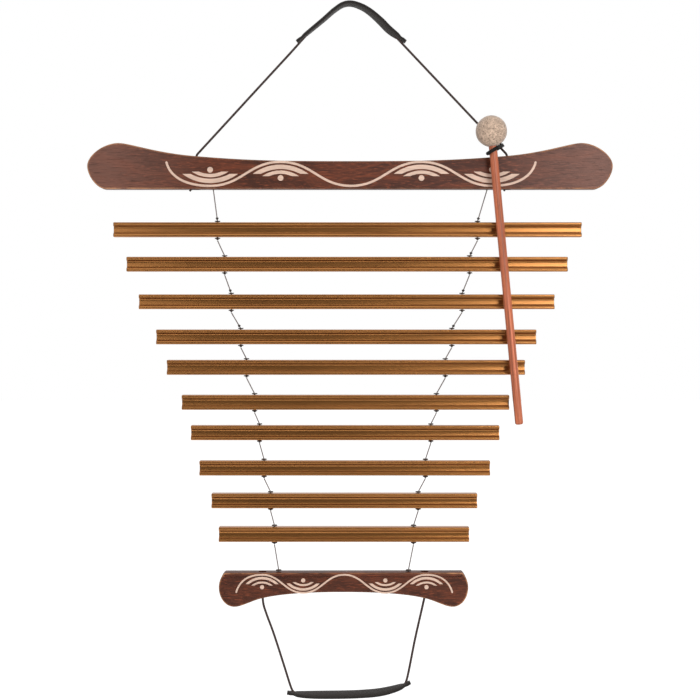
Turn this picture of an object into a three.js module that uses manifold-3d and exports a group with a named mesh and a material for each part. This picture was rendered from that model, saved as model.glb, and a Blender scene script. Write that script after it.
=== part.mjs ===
// Meditation chime: ten extruded metal bars threaded on two knotted cords between two curved hardwood boards,
// with a padded grip on the hanging cord above, a padded hand loop below and a ball mallet on a lace.
// Millimetres, +Z up. +X is to the right and -Y to the front of the hanging chime.
// The origin is under the crown of the upper grip, where a hook or a hand carries the whole chime.
// Every cord hangs in the plane Y = 0.

import * as THREE from "three";
import { mergeVertices } from "three/addons/utils/BufferGeometryUtils.js";
import Module from "manifold-3d";

// Clearances
const touchGap = 0.3;
const boreClearance = 0.35;

// Cords and the fittings on them
const thickCord = 2.2;
const thinCord = 1.2;
const washerDiameter = 5.9;
const washerThickness = 0.8;
const washerDish = 0.7;
const ladderKnotDiameter = 2.9;
const ladderKnotHeight = 2.2;
const upperKnotRise = 2.4;
const boardKnotDiameter = 6.4;
const boardKnotHeight = 4.6;
const knotTail = 1.6;
const counterboreDiameter = 8.9;
const counterboreDepth = 6;

// Head board, measured from the middle of its straight lower edge
const boardThickness = 15;
const boardEdge = 1.3;
const headDrop = 199.6;
const headWaist = 30.2;
const headShoulder = { x: 170, z: 35.9 };
const headBulb = { x: 250.5, z: 49.8 };
const headTip = { x: 284.2, z: 24.6 };
const headCorner = 264;
const hangerHoleLeft = -166.7;
const hangerHoleRight = 170.3;
const ladderHoleLeft = -148.4;
const ladderHoleRight = 148.8;

// Bars, from the longest to the shortest
const longestBar = 506.9;
const barSemitones = [0, 2, 4, 7, 9, 12, 14, 16, 19, 21];
const semitonesPerHalving = 23.25;
const stillPointShare = 0.2215;
const barHeight = 16;
const barDepth = 12;
const barCornerRadius = 1.6;
const troughHeight = 8.5;
const troughDepth = 3.6;
const barHoleDiameter = 2.6;

// How far each bar hangs below the head board's lower edge or the bar above it, centre to centre
const barDrops = [43.8, 37.4, 40.7, 38.1, 33, 37.9, 32.9, 38.3, 35.4, 36.4];
const lastDrop = 40.7;

// How far the ladder stands to the left, at its first bar and at the lower board
const firstLean = 2.7;
const lastLean = 7;

// Bars with a second knot over the top washer, counted from the longest
const upperKnots = { left: [1, 3, 4], right: [1, 2, 3, 4] };

// Lower board, measured from the middle of its straight top edge, downwards
const lowerWaist = 21.2;
const lowerShoulder = { x: 88, z: 27.9 };
const lowerBulb = { x: 118, z: 37.2 };
const lowerTip = { x: 134.9, z: 16 };
const lowerCorner = 128.5;
const ladderSocket = 70.4;
const ladderSocketDepth = 12;
const handleHole = 87.9;

// Grips
const gripWidth = 13;
const gripThickness = 4.8;
const gripEndWidth = 6;
const gripEndThickness = 4.1;
const upperTwist = { left: 12, right: -32 };
const lowerTwist = { left: 18, right: 20 };

// Mallet, tied by its neck to the right leg of the hanging cord
const ballDiameter = 33.6;
const malletDowel = 8.8;
const malletReach = 315.8;
const malletTenon = 5.5;
const malletTilt = 5.44;
const dowelRound = 2.2;
const laceOverBoard = 10.4;
const laceUnderBall = 3.9;
const laceRun = 11.5;
const laceSlope = 32;
const laceHeight = 3;
const laceThickness = 1.5;
const laceTail = 10.6;
const laceSlack = 0.1;
const laceRoomOnCord = 1.8;

// Facets
const cordSides = 8;
const boreSides = 10;
const gripSides = 12;
const gripSteps = 16;
const outlineSteps = 9;

// Colours
const finishes = {
  wood: { color: 0x5a3a2d, roughness: 0.6, metalness: 0 },
  metal: { color: 0xb07a3c, roughness: 0.32, metalness: 1 },
  cord: { color: 0x352c2b, roughness: 0.85, metalness: 0 },
  grip: { color: 0x3a3836, roughness: 0.95, metalness: 0 },
  cork: { color: 0xbca890, roughness: 0.9, metalness: 0 },
  dowel: { color: 0xb96a4c, roughness: 0.55, metalness: 0 },
  lace: { color: 0x25221f, roughness: 0.7, metalness: 0 },
};

const wasm = await Module();
wasm.setup();

// Geometry helpers

function at(x, z) {
  return new THREE.Vector3(x, 0, z);
}

function circlePoints(radius, sides) {
  return Array.from({ length: sides }, (_, i) => {
    const angle = ((i + 0.5) / sides) * 2 * Math.PI;
    return new THREE.Vector2(radius * Math.cos(angle), radius * Math.sin(angle));
  });
}

function arcPoints(centreX, centreY, radius, fromDegrees, toDegrees, steps) {
  return Array.from({ length: steps + 1 }, (_, i) => {
    const angle = THREE.MathUtils.degToRad(THREE.MathUtils.lerp(fromDegrees, toDegrees, i / steps));
    return new THREE.Vector2(centreX + radius * Math.cos(angle), centreY + radius * Math.sin(angle));
  });
}

// A closed surface as a solid for cutting and joining
function solidOf(geometry) {
  const bare = new THREE.BufferGeometry();
  bare.setAttribute("position", geometry.getAttribute("position"));
  bare.setIndex(geometry.getIndex());
  const merged = mergeVertices(bare, 1e-4);
  const corners = merged.getIndex().array;
  const kept = [];
  for (let i = 0; i < corners.length; i += 3) {
    const [a, b, c] = corners.subarray(i, i + 3);
    if (a !== b && b !== c && c !== a) kept.push(a, b, c);
  }
  return new wasm.Manifold(
    new wasm.Mesh({
      numProp: 3,
      vertProperties: merged.getAttribute("position").array,
      triVerts: new Uint32Array(kept),
    }),
  );
}

function geometryOf(solid) {
  const { vertProperties, triVerts } = solid.getMesh();
  const geometry = new THREE.BufferGeometry();
  geometry.setAttribute("position", new THREE.BufferAttribute(vertProperties, 3));
  geometry.setIndex(new THREE.BufferAttribute(triVerts, 1));
  return geometry;
}

function cut(body, ...tools) {
  return geometryOf(tools.reduce((left, tool) => left.subtract(solidOf(tool)), solidOf(body)));
}

function join(...pieces) {
  return geometryOf(pieces.map(solidOf).reduce((sum, piece) => sum.add(piece)));
}

// A round tool along Z
function drill(diameter, low, high, x) {
  const bit = new THREE.CylinderGeometry(diameter / 2, diameter / 2, high - low, boreSides);
  bit.rotateX(Math.PI / 2);
  bit.translate(x, 0, (low + high) / 2);
  return bit;
}

// A body turned about Z from a profile of [radius, height] pairs, lowest first
function turned(profile, sides) {
  const points = profile.map(([radius, height]) => new THREE.Vector2(radius, height));
  const geometry = new THREE.LatheGeometry(points, sides);
  geometry.rotateX(Math.PI / 2);
  return geometry;
}

// A route through points chosen by hand, with one step of the tube at each of them
class Route extends THREE.Curve {
  constructor(points) {
    super();
    this.points = points;
  }

  getPoint(t, target = new THREE.Vector3()) {
    const last = this.points.length - 1;
    const span = Math.min(Math.floor(t * last), last - 1);
    return target.lerpVectors(this.points[span], this.points[span + 1], t * last - span);
  }

  getPointAt(u, target) {
    return this.getPoint(u, target);
  }

  getTangentAt(u, target = new THREE.Vector3()) {
    const last = this.points.length - 1;
    const here = Math.round(u * last);
    const before = this.points[Math.max(here - 1, 0)];
    const after = this.points[Math.min(here + 1, last)];
    return target.subVectors(after, before).normalize();
  }
}

function cordAlong(points, diameter) {
  return new THREE.ExtrudeGeometry(new THREE.Shape(circlePoints(diameter / 2, cordSides)), {
    steps: points.length - 1,
    extrudePath: new Route(points),
    bevelEnabled: false,
  });
}

// The points of a rounded turn that leaves `start` for `corner` and ends up at `end`
function turn(start, corner, end, steps) {
  return new THREE.QuadraticBezierCurve3(start, corner, end).getPoints(steps);
}

function stepFrom(start, towards, distance) {
  return start.clone().addScaledVector(towards.clone().sub(start).normalize(), distance);
}

// Where two lines in the plane Y = 0 cross, each given by two of its points
function crossing(a, b, c, d) {
  const first = b.clone().sub(a);
  const second = d.clone().sub(c);
  const between = c.clone().sub(a);
  const share = (between.x * second.z - between.z * second.x) / (first.x * second.z - first.z * second.x);
  return a.clone().addScaledVector(first, share);
}

// Boards

// Half of a board's outline, from the middle of its curved edge round the end to the straight edge.
// Each anchor has a place and the offsets of the handles before and after it.
function halfOutline(anchors) {
  const points = [new THREE.Vector2(...anchors[0].place)];
  for (let i = 1; i < anchors.length; i++) {
    const from = new THREE.Vector2(...anchors[i - 1].place);
    const to = new THREE.Vector2(...anchors[i].place);
    const leave = from.clone().add(new THREE.Vector2(...anchors[i - 1].after));
    const arrive = to.clone().add(new THREE.Vector2(...anchors[i].before));
    const stretch = new THREE.CubicBezierCurve(from, leave, arrive, to).getPoints(outlineSteps);
    points.push(...stretch.slice(1));
  }
  return points;
}

const headHalf = halfOutline([
  { place: [0, headWaist], after: [70, 0] },
  { place: [headShoulder.x, headShoulder.z], before: [-60, -5.3], after: [42, 3.7] },
  { place: [headBulb.x, headBulb.z], before: [-12.5, 0], after: [13.5, 0] },
  { place: [headTip.x, headTip.z], before: [-9.2, 17.4], after: [-0.7, -9.6] },
  { place: [headCorner, 0], before: [11, 0] },
]);

const lowerHalf = halfOutline([
  { place: [0, lowerWaist], after: [30, 0] },
  { place: [lowerShoulder.x, lowerShoulder.z], before: [-23, -5.5], after: [12, 2.9] },
  { place: [lowerBulb.x, lowerBulb.z], before: [-8, 0], after: [9.5, 0] },
  { place: [lowerTip.x, lowerTip.z], before: [0, 12], after: [0, -7] },
  { place: [lowerCorner, 0], before: [3, 3] },
]);

// How far the curved edge stands from the straight one, at a distance from the middle
function edgeHeight(half, distance) {
  const next = half.findIndex((point) => point.x >= Math.abs(distance));
  const after = half[Math.max(next, 1)];
  const before = half[Math.max(next, 1) - 1];
  const share = (Math.abs(distance) - before.x) / (after.x - before.x);
  return THREE.MathUtils.lerp(before.y, after.y, share);
}

// A plank with rounded edges whose straight edge lies at Z = 0 and whose curved edge is above or below it
function boardBlank(half, curvedSide) {
  const right = half.map((point) => new THREE.Vector2(point.x, point.y * curvedSide)).reverse();
  const left = right.slice(0, -1).reverse();
  const mirrored = left.map((point) => new THREE.Vector2(-point.x, point.y));
  const blank = new THREE.ExtrudeGeometry(new THREE.Shape([...right, ...mirrored]), {
    depth: boardThickness - 2 * boardEdge,
    bevelThickness: boardEdge,
    bevelSize: boardEdge,
    bevelOffset: -boardEdge,
    bevelSegments: 1,
  });
  blank.translate(0, 0, boardEdge - boardThickness / 2);
  blank.rotateX(Math.PI / 2);
  return blank;
}

function thickHole(low, high, x) {
  return drill(thickCord + 2 * boreClearance, low, high, x);
}

function thinHole(low, high, x) {
  return drill(thinCord + 2 * boreClearance, low, high, x);
}

function headBoard() {
  const over = headBulb.z;
  const hangerHoles = [hangerHoleLeft, hangerHoleRight].flatMap((x) => [
    thickHole(-1, over, x),
    drill(counterboreDiameter, -1, counterboreDepth, x),
  ]);
  const ladderHoles = [ladderHoleLeft, ladderHoleRight].flatMap((x) => [
    thinHole(-1, over, x),
    drill(counterboreDiameter, edgeHeight(headHalf, x) - counterboreDepth, over, x),
  ]);
  return cut(boardBlank(headHalf, 1), ...hangerHoles, ...ladderHoles);
}

function lowerBoard() {
  const under = -lowerBulb.z;
  const handleHoles = [-handleHole, handleHole].flatMap((x) => [
    thickHole(under, 1, x),
    drill(counterboreDiameter, -counterboreDepth, 1, x),
  ]);
  const sockets = [-ladderSocket, ladderSocket].map((x) => thinHole(-ladderSocketDepth, 1, x));
  return cut(boardBlank(lowerHalf, -1), ...handleHoles, ...sockets);
}

// Bars

function barLength(index) {
  return longestBar * 2 ** (-barSemitones[index] / semitonesPerHalving);
}

function barHoleOffset(index) {
  return barLength(index) * (0.5 - stillPointShare);
}

// The bar's section: a block with a round-bottomed trough along its front and its back
function barSection() {
  const y = barDepth / 2;
  const z = barHeight / 2;
  const lip = troughHeight / 2;
  const cornerY = y - barCornerRadius;
  const cornerZ = z - barCornerRadius;
  const radius = (lip ** 2 + troughDepth ** 2) / (2 * troughDepth);
  const centre = y - troughDepth + radius;
  const opening = THREE.MathUtils.radToDeg(Math.atan2(lip, centre - y));
  return new THREE.Shape([
    ...arcPoints(centre, 0, radius, 180 + opening, 180 - opening, 8),
    ...arcPoints(cornerY, cornerZ, barCornerRadius, 0, 90, 3),
    ...arcPoints(-cornerY, cornerZ, barCornerRadius, 90, 180, 3),
    ...arcPoints(-centre, 0, radius, opening, -opening, 8),
    ...arcPoints(-cornerY, -cornerZ, barCornerRadius, 180, 270, 3),
    ...arcPoints(cornerY, -cornerZ, barCornerRadius, 270, 360, 3),
  ]);
}

function bar(index) {
  const length = barLength(index);
  const blank = new THREE.ExtrudeGeometry(barSection(), { depth: length, bevelEnabled: false });
  const alongX = new THREE.Matrix4().makeBasis(
    new THREE.Vector3(0, 1, 0),
    new THREE.Vector3(0, 0, 1),
    new THREE.Vector3(1, 0, 0),
  );
  blank.applyMatrix4(alongX);
  blank.translate(-length / 2, 0, 0);
  const hole = barHoleOffset(index);
  const reach = barHeight / 2 + 1;
  return cut(blank, ...[-hole, hole].map((x) => drill(barHoleDiameter, -reach, reach, x)));
}

// Ladder cords

const washerReach = touchGap + washerThickness;
const knotReach = barHeight / 2 + washerReach + ladderKnotHeight;

// A dished washer on the cord, its hollow side away from the bar; `side` is 1 over the bar and -1 under it
function washer(x, faceZ, side) {
  const inner = faceZ + side * touchGap;
  const rim = inner + side * washerDish;
  const profile = [
    [0, inner],
    [washerDiameter / 2, rim],
    [washerDiameter / 2, rim + side * washerThickness],
    [0, inner + side * washerThickness],
  ];
  const disc = turned(side > 0 ? profile : profile.reverse(), cordSides);
  disc.translate(x, 0, 0);
  return disc;
}

function knot(x, low, height, diameter) {
  const lump = turned(
    [
      [0, low],
      [0.3 * diameter, low],
      [0.5 * diameter, low + 0.3 * height],
      [0.5 * diameter, low + 0.7 * height],
      [0.3 * diameter, low + height],
      [0, low + height],
    ],
    cordSides,
  );
  lump.translate(x, 0, 0);
  return lump;
}

// The stretch of ladder cord from its bend point above down to a bar and through it, with the fittings that hold the bar.
// Z = 0 is the bend point; the bar's centre is at `barX`, `barZ`.
function ladderCord(topX, barX, barZ, hasUpperKnot) {
  const top = barZ + barHeight / 2;
  const low = barZ - barHeight / 2;
  const start = at(topX, -touchGap);
  const mouth = at(barX, top + washerReach);
  const turnStart = stepFrom(mouth, start, 3);
  const route = [start, ...turn(turnStart, at(barX, top + washerReach), at(barX, top), 2), at(barX, low - washerReach)];
  const pieces = [
    cordAlong(route, thinCord),
    washer(barX, top, 1),
    washer(barX, low, -1),
    knot(barX, low - washerReach - ladderKnotHeight, ladderKnotHeight + touchGap, ladderKnotDiameter),
  ];
  if (hasUpperKnot) {
    const middle = stepFrom(mouth, start, upperKnotRise + ladderKnotHeight / 2);
    pieces.push(knot(middle.x, middle.z - ladderKnotHeight / 2, ladderKnotHeight, ladderKnotDiameter));
  }
  return join(...pieces);
}

// The last stretch, which ends in the lower board's socket
function lastLadderCord(topX, socketX, boardZ) {
  const start = at(topX, -touchGap);
  const mouth = at(socketX, boardZ + washerReach);
  const turnStart = stepFrom(mouth, start, 3);
  const route = [
    start,
    ...turn(turnStart, mouth, at(socketX, boardZ), 2),
    at(socketX, boardZ - ladderSocketDepth + touchGap),
  ];
  return join(cordAlong(route, thinCord), washer(socketX, boardZ, 1));
}

// Cord ends in the boards

// A cord end with its knot in a counterbore: from `mouth`, where the free cord starts, to the knot's seat
function knottedEnd(mouthZ, seatZ, diameter, knotDiameter) {
  const away = Math.sign(seatZ - mouthZ);
  const low = away > 0 ? seatZ + touchGap : seatZ - touchGap - boardKnotHeight;
  const tip = seatZ + away * (boardKnotHeight + knotTail);
  const ends = [at(0, mouthZ), at(0, tip)];
  return join(cordAlong(ends, diameter), knot(0, low, boardKnotHeight, knotDiameter));
}

// Grips

// A flattened sleeve round a cord: narrower and thinner at its ends, and twisted along its way
function gripSleeve(centreline, twist, cordRoute) {
  const path = new THREE.CatmullRomCurve3(centreline);
  const positions = [];
  for (let i = 0; i <= gripSteps; i++) {
    const share = i / gripSteps;
    const centre = path.getPointAt(share);
    const along = path.getTangentAt(share);
    const fullness = 1 - Math.abs(2 * share - 1) ** 5;
    const width = THREE.MathUtils.lerp(gripEndWidth, gripWidth, fullness) / 2;
    const thickness = THREE.MathUtils.lerp(gripEndThickness, gripThickness, fullness) / 2;
    const angle = THREE.MathUtils.degToRad(THREE.MathUtils.lerp(twist.left, twist.right, share) * fullness);
    const across = new THREE.Vector3(0, 1, 0).applyAxisAngle(along, angle);
    const outwards = across.clone().cross(along);
    for (const corner of circlePoints(1, gripSides)) {
      const point = centre.clone();
      point.addScaledVector(outwards, corner.x * thickness);
      point.addScaledVector(across, corner.y * width);
      positions.push(...point);
    }
  }
  const faces = [];
  for (let i = 0; i < gripSteps; i++) {
    for (let j = 0; j < gripSides; j++) {
      const a = i * gripSides + j;
      const b = i * gripSides + ((j + 1) % gripSides);
      faces.push(a, b, a + gripSides, b, b + gripSides, a + gripSides);
    }
  }
  const lastRing = gripSteps * gripSides;
  for (let j = 1; j < gripSides - 1; j++) {
    faces.push(0, j + 1, j, lastRing, lastRing + j, lastRing + j + 1);
  }
  const sleeve = new THREE.BufferGeometry();
  sleeve.setAttribute("position", new THREE.Float32BufferAttribute(positions, 3));
  sleeve.setIndex(faces);
  return cut(sleeve, cordAlong(cordRoute, thickCord + 2 * boreClearance));
}

// Scene helpers

const chime = new THREE.Group();

function addMesh(group, name, geometry, finish, x = 0, z = 0) {
  const mesh = new THREE.Mesh(geometry, new THREE.MeshStandardMaterial(finish));
  mesh.name = name;
  mesh.position.set(x, 0, z);
  group.add(mesh);
  return mesh;
}

// A group whose own origin is the bend point that it swings about
function hangFrom(parent, z) {
  const group = new THREE.Group();
  group.position.z = z;
  parent.add(group);
  return group;
}

// Hanger

const headBottomZ = -headDrop;
const bendZ = headBottomZ + edgeHeight(headHalf, hangerHoleLeft);
const upperGripLine = [
  at(-57.6, -39),
  at(-40.2, -24.6),
  at(-27.6, -14.1),
  at(-17.4, -5.2),
  at(-7.6, 1.1),
  at(0.8, gripThickness / 2),
  at(12.2, -1),
  at(21.9, -6.9),
  at(33.1, -16.7),
  at(42.8, -26.4),
  at(60.4, -39.2),
];
const upperCordLine = upperGripLine.slice(1, -1);

function hangerRoute() {
  const smooth = new THREE.CatmullRomCurve3(upperCordLine).getPoints(gripSteps);
  const leftMouth = at(hangerHoleLeft, bendZ + touchGap);
  const rightMouth = at(hangerHoleRight, headBottomZ + edgeHeight(headHalf, hangerHoleRight) + touchGap);
  const leftCorner = at(hangerHoleLeft, leftMouth.z + 2.6);
  const rightCorner = at(hangerHoleRight, rightMouth.z + 2.6);
  const leftBend = turn(leftMouth, leftCorner, stepFrom(leftCorner, smooth[0], 6), 3);
  const rightBend = turn(stepFrom(rightCorner, smooth.at(-1), 6), rightCorner, rightMouth, 3);
  return [...leftBend, ...smooth, ...rightBend];
}

const hangerPoints = hangerRoute();
addMesh(chime, "hanger_cord", cordAlong(hangerPoints, thickCord), finishes.cord);
addMesh(chime, "hanger_grip", gripSleeve(upperGripLine, upperTwist, hangerPoints), finishes.grip);

// Head board and the cord ends in it

const head = hangFrom(chime, bendZ);
const headZ = headBottomZ - bendZ;
addMesh(head, "head_board", headBoard(), finishes.wood, 0, headZ);
for (const [side, x] of Object.entries({ left: hangerHoleLeft, right: hangerHoleRight })) {
  const mouth = edgeHeight(headHalf, x);
  const end = knottedEnd(mouth, counterboreDepth, thickCord, boardKnotDiameter);
  addMesh(head, `hanger_knot_${side}`, end, finishes.cord, x, headZ);
}
for (const [side, x] of Object.entries({ left: ladderHoleLeft, right: ladderHoleRight })) {
  const seat = edgeHeight(headHalf, x) - counterboreDepth;
  const end = knottedEnd(0, seat, thinCord, boardKnotDiameter);
  addMesh(head, `ladder_knot_${side}`, end, finishes.cord, x, headZ);
}

// Ladder of bars

const ladderLength = barDrops.slice(1).reduce((sum, drop) => sum + drop, lastDrop);

function leanAt(belowFirstBar) {
  return -THREE.MathUtils.lerp(firstLean, lastLean, belowFirstBar / ladderLength);
}

let above = head;
let bend = headZ;
let cordTops = { left: ladderHoleLeft, right: ladderHoleRight };
let drop = barDrops[0];
let belowFirstBar = 0;
barDrops.forEach((nextDrop, index) => {
  const number = String(index + 1).padStart(2, "0");
  const group = hangFrom(above, bend);
  const barX = leanAt(belowFirstBar);
  const barZ = -drop;
  const holes = { left: barX - barHoleOffset(index), right: barX + barHoleOffset(index) };
  addMesh(group, `bar_${number}`, bar(index), finishes.metal, barX, barZ);
  for (const side of ["left", "right"]) {
    const hasUpperKnot = upperKnots[side].includes(index + 1);
    const cord = ladderCord(cordTops[side], holes[side], barZ, hasUpperKnot);
    addMesh(group, `ladder_cord_${side}_${number}`, cord, finishes.cord);
  }
  const following = barDrops[index + 1] ?? lastDrop;
  above = group;
  bend = barZ - knotReach;
  cordTops = holes;
  drop = following - knotReach;
  belowFirstBar += following;
});

// Lower board and the cord ends in it

const lower = hangFrom(above, bend);
const lowerX = -lastLean;
const lowerZ = -drop;
addMesh(lower, "lower_board", lowerBoard(), finishes.wood, lowerX, lowerZ);
for (const [side, sign] of Object.entries({ left: -1, right: 1 })) {
  const cord = lastLadderCord(cordTops[side], lowerX + sign * ladderSocket, lowerZ);
  addMesh(lower, `ladder_cord_${side}_11`, cord, finishes.cord);
  const end = knottedEnd(-edgeHeight(lowerHalf, handleHole), -counterboreDepth, thickCord, boardKnotDiameter);
  addMesh(lower, `handle_knot_${side}`, end, finishes.cord, lowerX + sign * handleHole, lowerZ);
}

// Hand loop

const handle = hangFrom(lower, lowerZ - edgeHeight(lowerHalf, handleHole));
const leftLeg = [at(-handleHole, -touchGap), at(-86.9, -8.3), at(-83.7, -18.4), at(-76.4, -38.1), at(-64.2, -75.7)];
const rightLeg = [at(77.9, -44.4), at(86.4, -7), at(handleHole, -touchGap)];
const lowerGripLine = [
  at(-61.3, -103.8),
  at(-47.3, -105.7),
  at(-14.7, -106.2),
  at(17.9, -105.4),
  at(39.6, -103.4),
  at(55.9, -99.6),
  at(66.7, -95.6),
  at(72.4, -92.6),
];

function handleRoute() {
  const inside = new THREE.CatmullRomCurve3(lowerGripLine).getPoints(gripSteps).slice(1, -2);
  const leftCorner = crossing(leftLeg.at(-2), leftLeg.at(-1), inside[0], inside[1]);
  const rightCorner = crossing(inside.at(-2), inside.at(-1), rightLeg[0], rightLeg[1]);
  const leftTurn = turn(stepFrom(leftCorner, leftLeg.at(-1), 4), leftCorner, stepFrom(leftCorner, inside[1], 4), 3);
  const rightTurn = turn(
    stepFrom(rightCorner, inside.at(-1), 3.6),
    rightCorner,
    stepFrom(rightCorner, rightLeg[0], 3.6),
    3,
  );
  const between = inside.filter((point) => point.x > leftTurn.at(-1).x + 2 && point.x < rightTurn[0].x - 2);
  return [...leftLeg, ...leftTurn, ...between, ...rightTurn, ...rightLeg];
}

const handlePoints = handleRoute();
addMesh(handle, "handle_cord", cordAlong(handlePoints, thickCord), finishes.cord, lowerX);
addMesh(handle, "handle_grip", gripSleeve(lowerGripLine, lowerTwist, handlePoints), finishes.grip, lowerX);

// Mallet
// The lace leaves the hanging cord just over the head board and slopes down to the neck under the ball.

const ballRadius = ballDiameter / 2;
const malletY = -(thickCord / 2 + touchGap + ballRadius);
const tilt = THREE.MathUtils.degToRad(malletTilt);
const slope = THREE.MathUtils.degToRad(laceSlope);
const laceZ = headBottomZ + edgeHeight(headHalf, hangerHoleRight) + laceOverBoard;
const [gripExit, bendStart] = hangerPoints.slice(-5, -3);
const laceCord = crossing(gripExit, bendStart, at(0, laceZ), at(1, laceZ));
const neckX = laceCord.x - laceRun * Math.cos(slope);
const neckZ = laceCord.z - laceRun * Math.sin(slope);
const neckDrop = ballRadius + laceUnderBall;
const mallet = new THREE.Group();
mallet.position.set(neckX - neckDrop * Math.sin(tilt), malletY, neckZ + neckDrop * Math.cos(tilt));
mallet.rotation.y = -tilt;
chime.add(mallet);

function malletBall() {
  const ball = new THREE.SphereGeometry(ballRadius, 20, 12);
  ball.rotateX(Math.PI / 2);
  return cut(ball, drill(malletDowel + 2 * touchGap, -ballDiameter, malletTenon + touchGap, 0));
}

function malletHandle() {
  const radius = malletDowel / 2;
  const end = arcPoints(radius - dowelRound, dowelRound - malletReach, dowelRound, 270, 360, 4);
  const lowerEnd = end.map((point) => [point.x, point.y]);
  return turned([[0, -malletReach], ...lowerEnd, [radius, malletTenon], [0, malletTenon]], 14);
}

// The lace: a flat band round the dowel and the hanging cord behind it, with one free end to the left.
// It is drawn in its own plane, X from the dowel towards the cord and Y backwards, and extruded across.
function malletLace() {
  const lean = slope - tilt;
  const dowelInner = malletDowel / 2 / Math.cos(lean) + (laceHeight / 2) * Math.tan(lean) + laceSlack;
  const cordInner = thickCord / 2 + laceRoomOnCord;
  const centre = new THREE.Vector2(0, malletY);
  const cord = new THREE.Vector2(laceRun, 0);
  const line = cord.clone().sub(centre);
  const heading = THREE.MathUtils.radToDeg(line.angle());
  const open = THREE.MathUtils.radToDeg(Math.acos((dowelInner - cordInner) / line.length()));
  const loop = (extra) => [
    ...arcPoints(centre.x, centre.y, dowelInner + extra, heading + open, heading + 360 - open, 8),
    ...arcPoints(cord.x, cord.y, cordInner + extra, heading - open, heading + open, 8),
  ];
  const band = new THREE.Shape(loop(laceThickness));
  band.holes.push(new THREE.Path(loop(0)));
  const ring = new THREE.ExtrudeGeometry(band, { depth: laceHeight, bevelEnabled: false });
  const front = malletY - dowelInner - laceThickness;
  const tail = new THREE.BoxGeometry(laceTail, laceThickness, laceHeight);
  tail.translate(-laceTail / 2, front + laceThickness / 2, laceHeight / 2);
  const whole = join(ring, tail);
  whole.translate(0, -malletY, -laceHeight / 2);
  return whole;
}

addMesh(mallet, "mallet_ball", malletBall(), finishes.cork);
addMesh(mallet, "mallet_handle", malletHandle(), finishes.dowel);
const lace = addMesh(mallet, "mallet_lace", malletLace(), finishes.lace, 0, -neckDrop);
lace.rotation.y = tilt - slope;

export default chime;
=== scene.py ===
"""Meditation chime: bars on knotted cords between two wooden boards, with padded grips and a ball mallet.

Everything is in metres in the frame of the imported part: +Z up, -Y towards the front, the origin under the
crown of the upper grip, and every cord in the plane y = 0.
"""

import math

import bpy
import numpy as np
from bpy.props import FloatProperty, FloatVectorProperty, PointerProperty
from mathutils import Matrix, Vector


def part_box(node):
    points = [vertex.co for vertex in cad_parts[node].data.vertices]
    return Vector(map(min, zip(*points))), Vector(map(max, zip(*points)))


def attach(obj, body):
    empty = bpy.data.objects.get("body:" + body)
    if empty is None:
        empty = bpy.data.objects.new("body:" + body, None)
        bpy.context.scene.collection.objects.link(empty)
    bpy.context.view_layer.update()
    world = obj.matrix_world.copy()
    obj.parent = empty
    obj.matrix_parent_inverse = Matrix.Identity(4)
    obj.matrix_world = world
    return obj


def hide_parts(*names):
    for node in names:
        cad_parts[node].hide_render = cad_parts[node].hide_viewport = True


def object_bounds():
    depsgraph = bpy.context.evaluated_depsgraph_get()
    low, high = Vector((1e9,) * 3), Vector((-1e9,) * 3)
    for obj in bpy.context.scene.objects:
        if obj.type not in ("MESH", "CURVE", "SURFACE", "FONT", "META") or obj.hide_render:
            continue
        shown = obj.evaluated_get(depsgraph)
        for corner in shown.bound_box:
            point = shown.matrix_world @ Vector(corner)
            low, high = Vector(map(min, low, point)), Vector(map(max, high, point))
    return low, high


bl_info = {
    "name": "Meditation chime",
    "version": (1, 0, 0),
    "blender": (4, 5, 0),
    "location": "View3D > Sidebar > Chime",
    "description": "Builds the visual model of a hanging meditation chime around its packed solids",
    "category": "Add Mesh",
}

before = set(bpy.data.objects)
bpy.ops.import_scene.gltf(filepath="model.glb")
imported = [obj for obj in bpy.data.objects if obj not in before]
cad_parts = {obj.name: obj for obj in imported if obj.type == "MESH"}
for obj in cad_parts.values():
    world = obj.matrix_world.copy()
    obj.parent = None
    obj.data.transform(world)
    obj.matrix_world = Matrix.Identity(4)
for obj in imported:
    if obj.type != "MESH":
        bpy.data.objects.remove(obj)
cad_low, cad_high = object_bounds()

MM = 0.001
SIDES = ("left", "right")
BAR_NAMES = sorted(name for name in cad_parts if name.startswith("bar_"))

# Places of the holes in the boards, from the middle of each board
HANGER_HOLES = {"left": -166.7 * MM, "right": 170.3 * MM}
LADDER_HOLES = {"left": -148.4 * MM, "right": 148.8 * MM}
SOCKETS = {"left": -70.4 * MM, "right": 70.4 * MM}
HANDLE_HOLES = {"left": -87.9 * MM, "right": 87.9 * MM}
COUNTERBORE_DEPTH = 6 * MM
COUNTERBORE_RADIUS = 4.45 * MM
SOCKET_DEPTH = 12 * MM
ROOM_ROUND_CORD = 0.35 * MM
PAST_EVERY_EDGE = 40 * MM

# Half outlines of the boards, from the middle of the curved edge to the corner of the straight edge, in mm.
# Each anchor holds its place and the offsets of the handles before and after it.
HEAD_ANCHORS = (
    ((0, 30.2), (0, 0), (70, 0)),
    ((170, 35.9), (-60, -5.3), (42, 3.7)),
    ((250.5, 49.8), (-12.5, 0), (15.5, 0)),
    ((284.2, 24.8), (0, 12), (0, -9.5)),
    ((264, 0), (10.5, 0), (0, 0)),
)
LOWER_ANCHORS = (
    ((0, -21.2), (0, 0), (30, 0)),
    ((88, -27.9), (-23, 5.5), (12, -2.9)),
    ((118, -37.2), (-8, 0), (9.5, 0)),
    ((134.9, -16), (0, -12), (0, 7)),
    ((128.5, 0), (3, -3), (0, 0)),
)
OUTLINE_STEPS = 36
OUTLINE_SPACING = 1.6 * MM
# The two rings on a board's flat faces: one this far inside the outline, one this far inside the round edge
FACE_RINGS = (4.5 * MM, 0.5 * MM)

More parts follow.
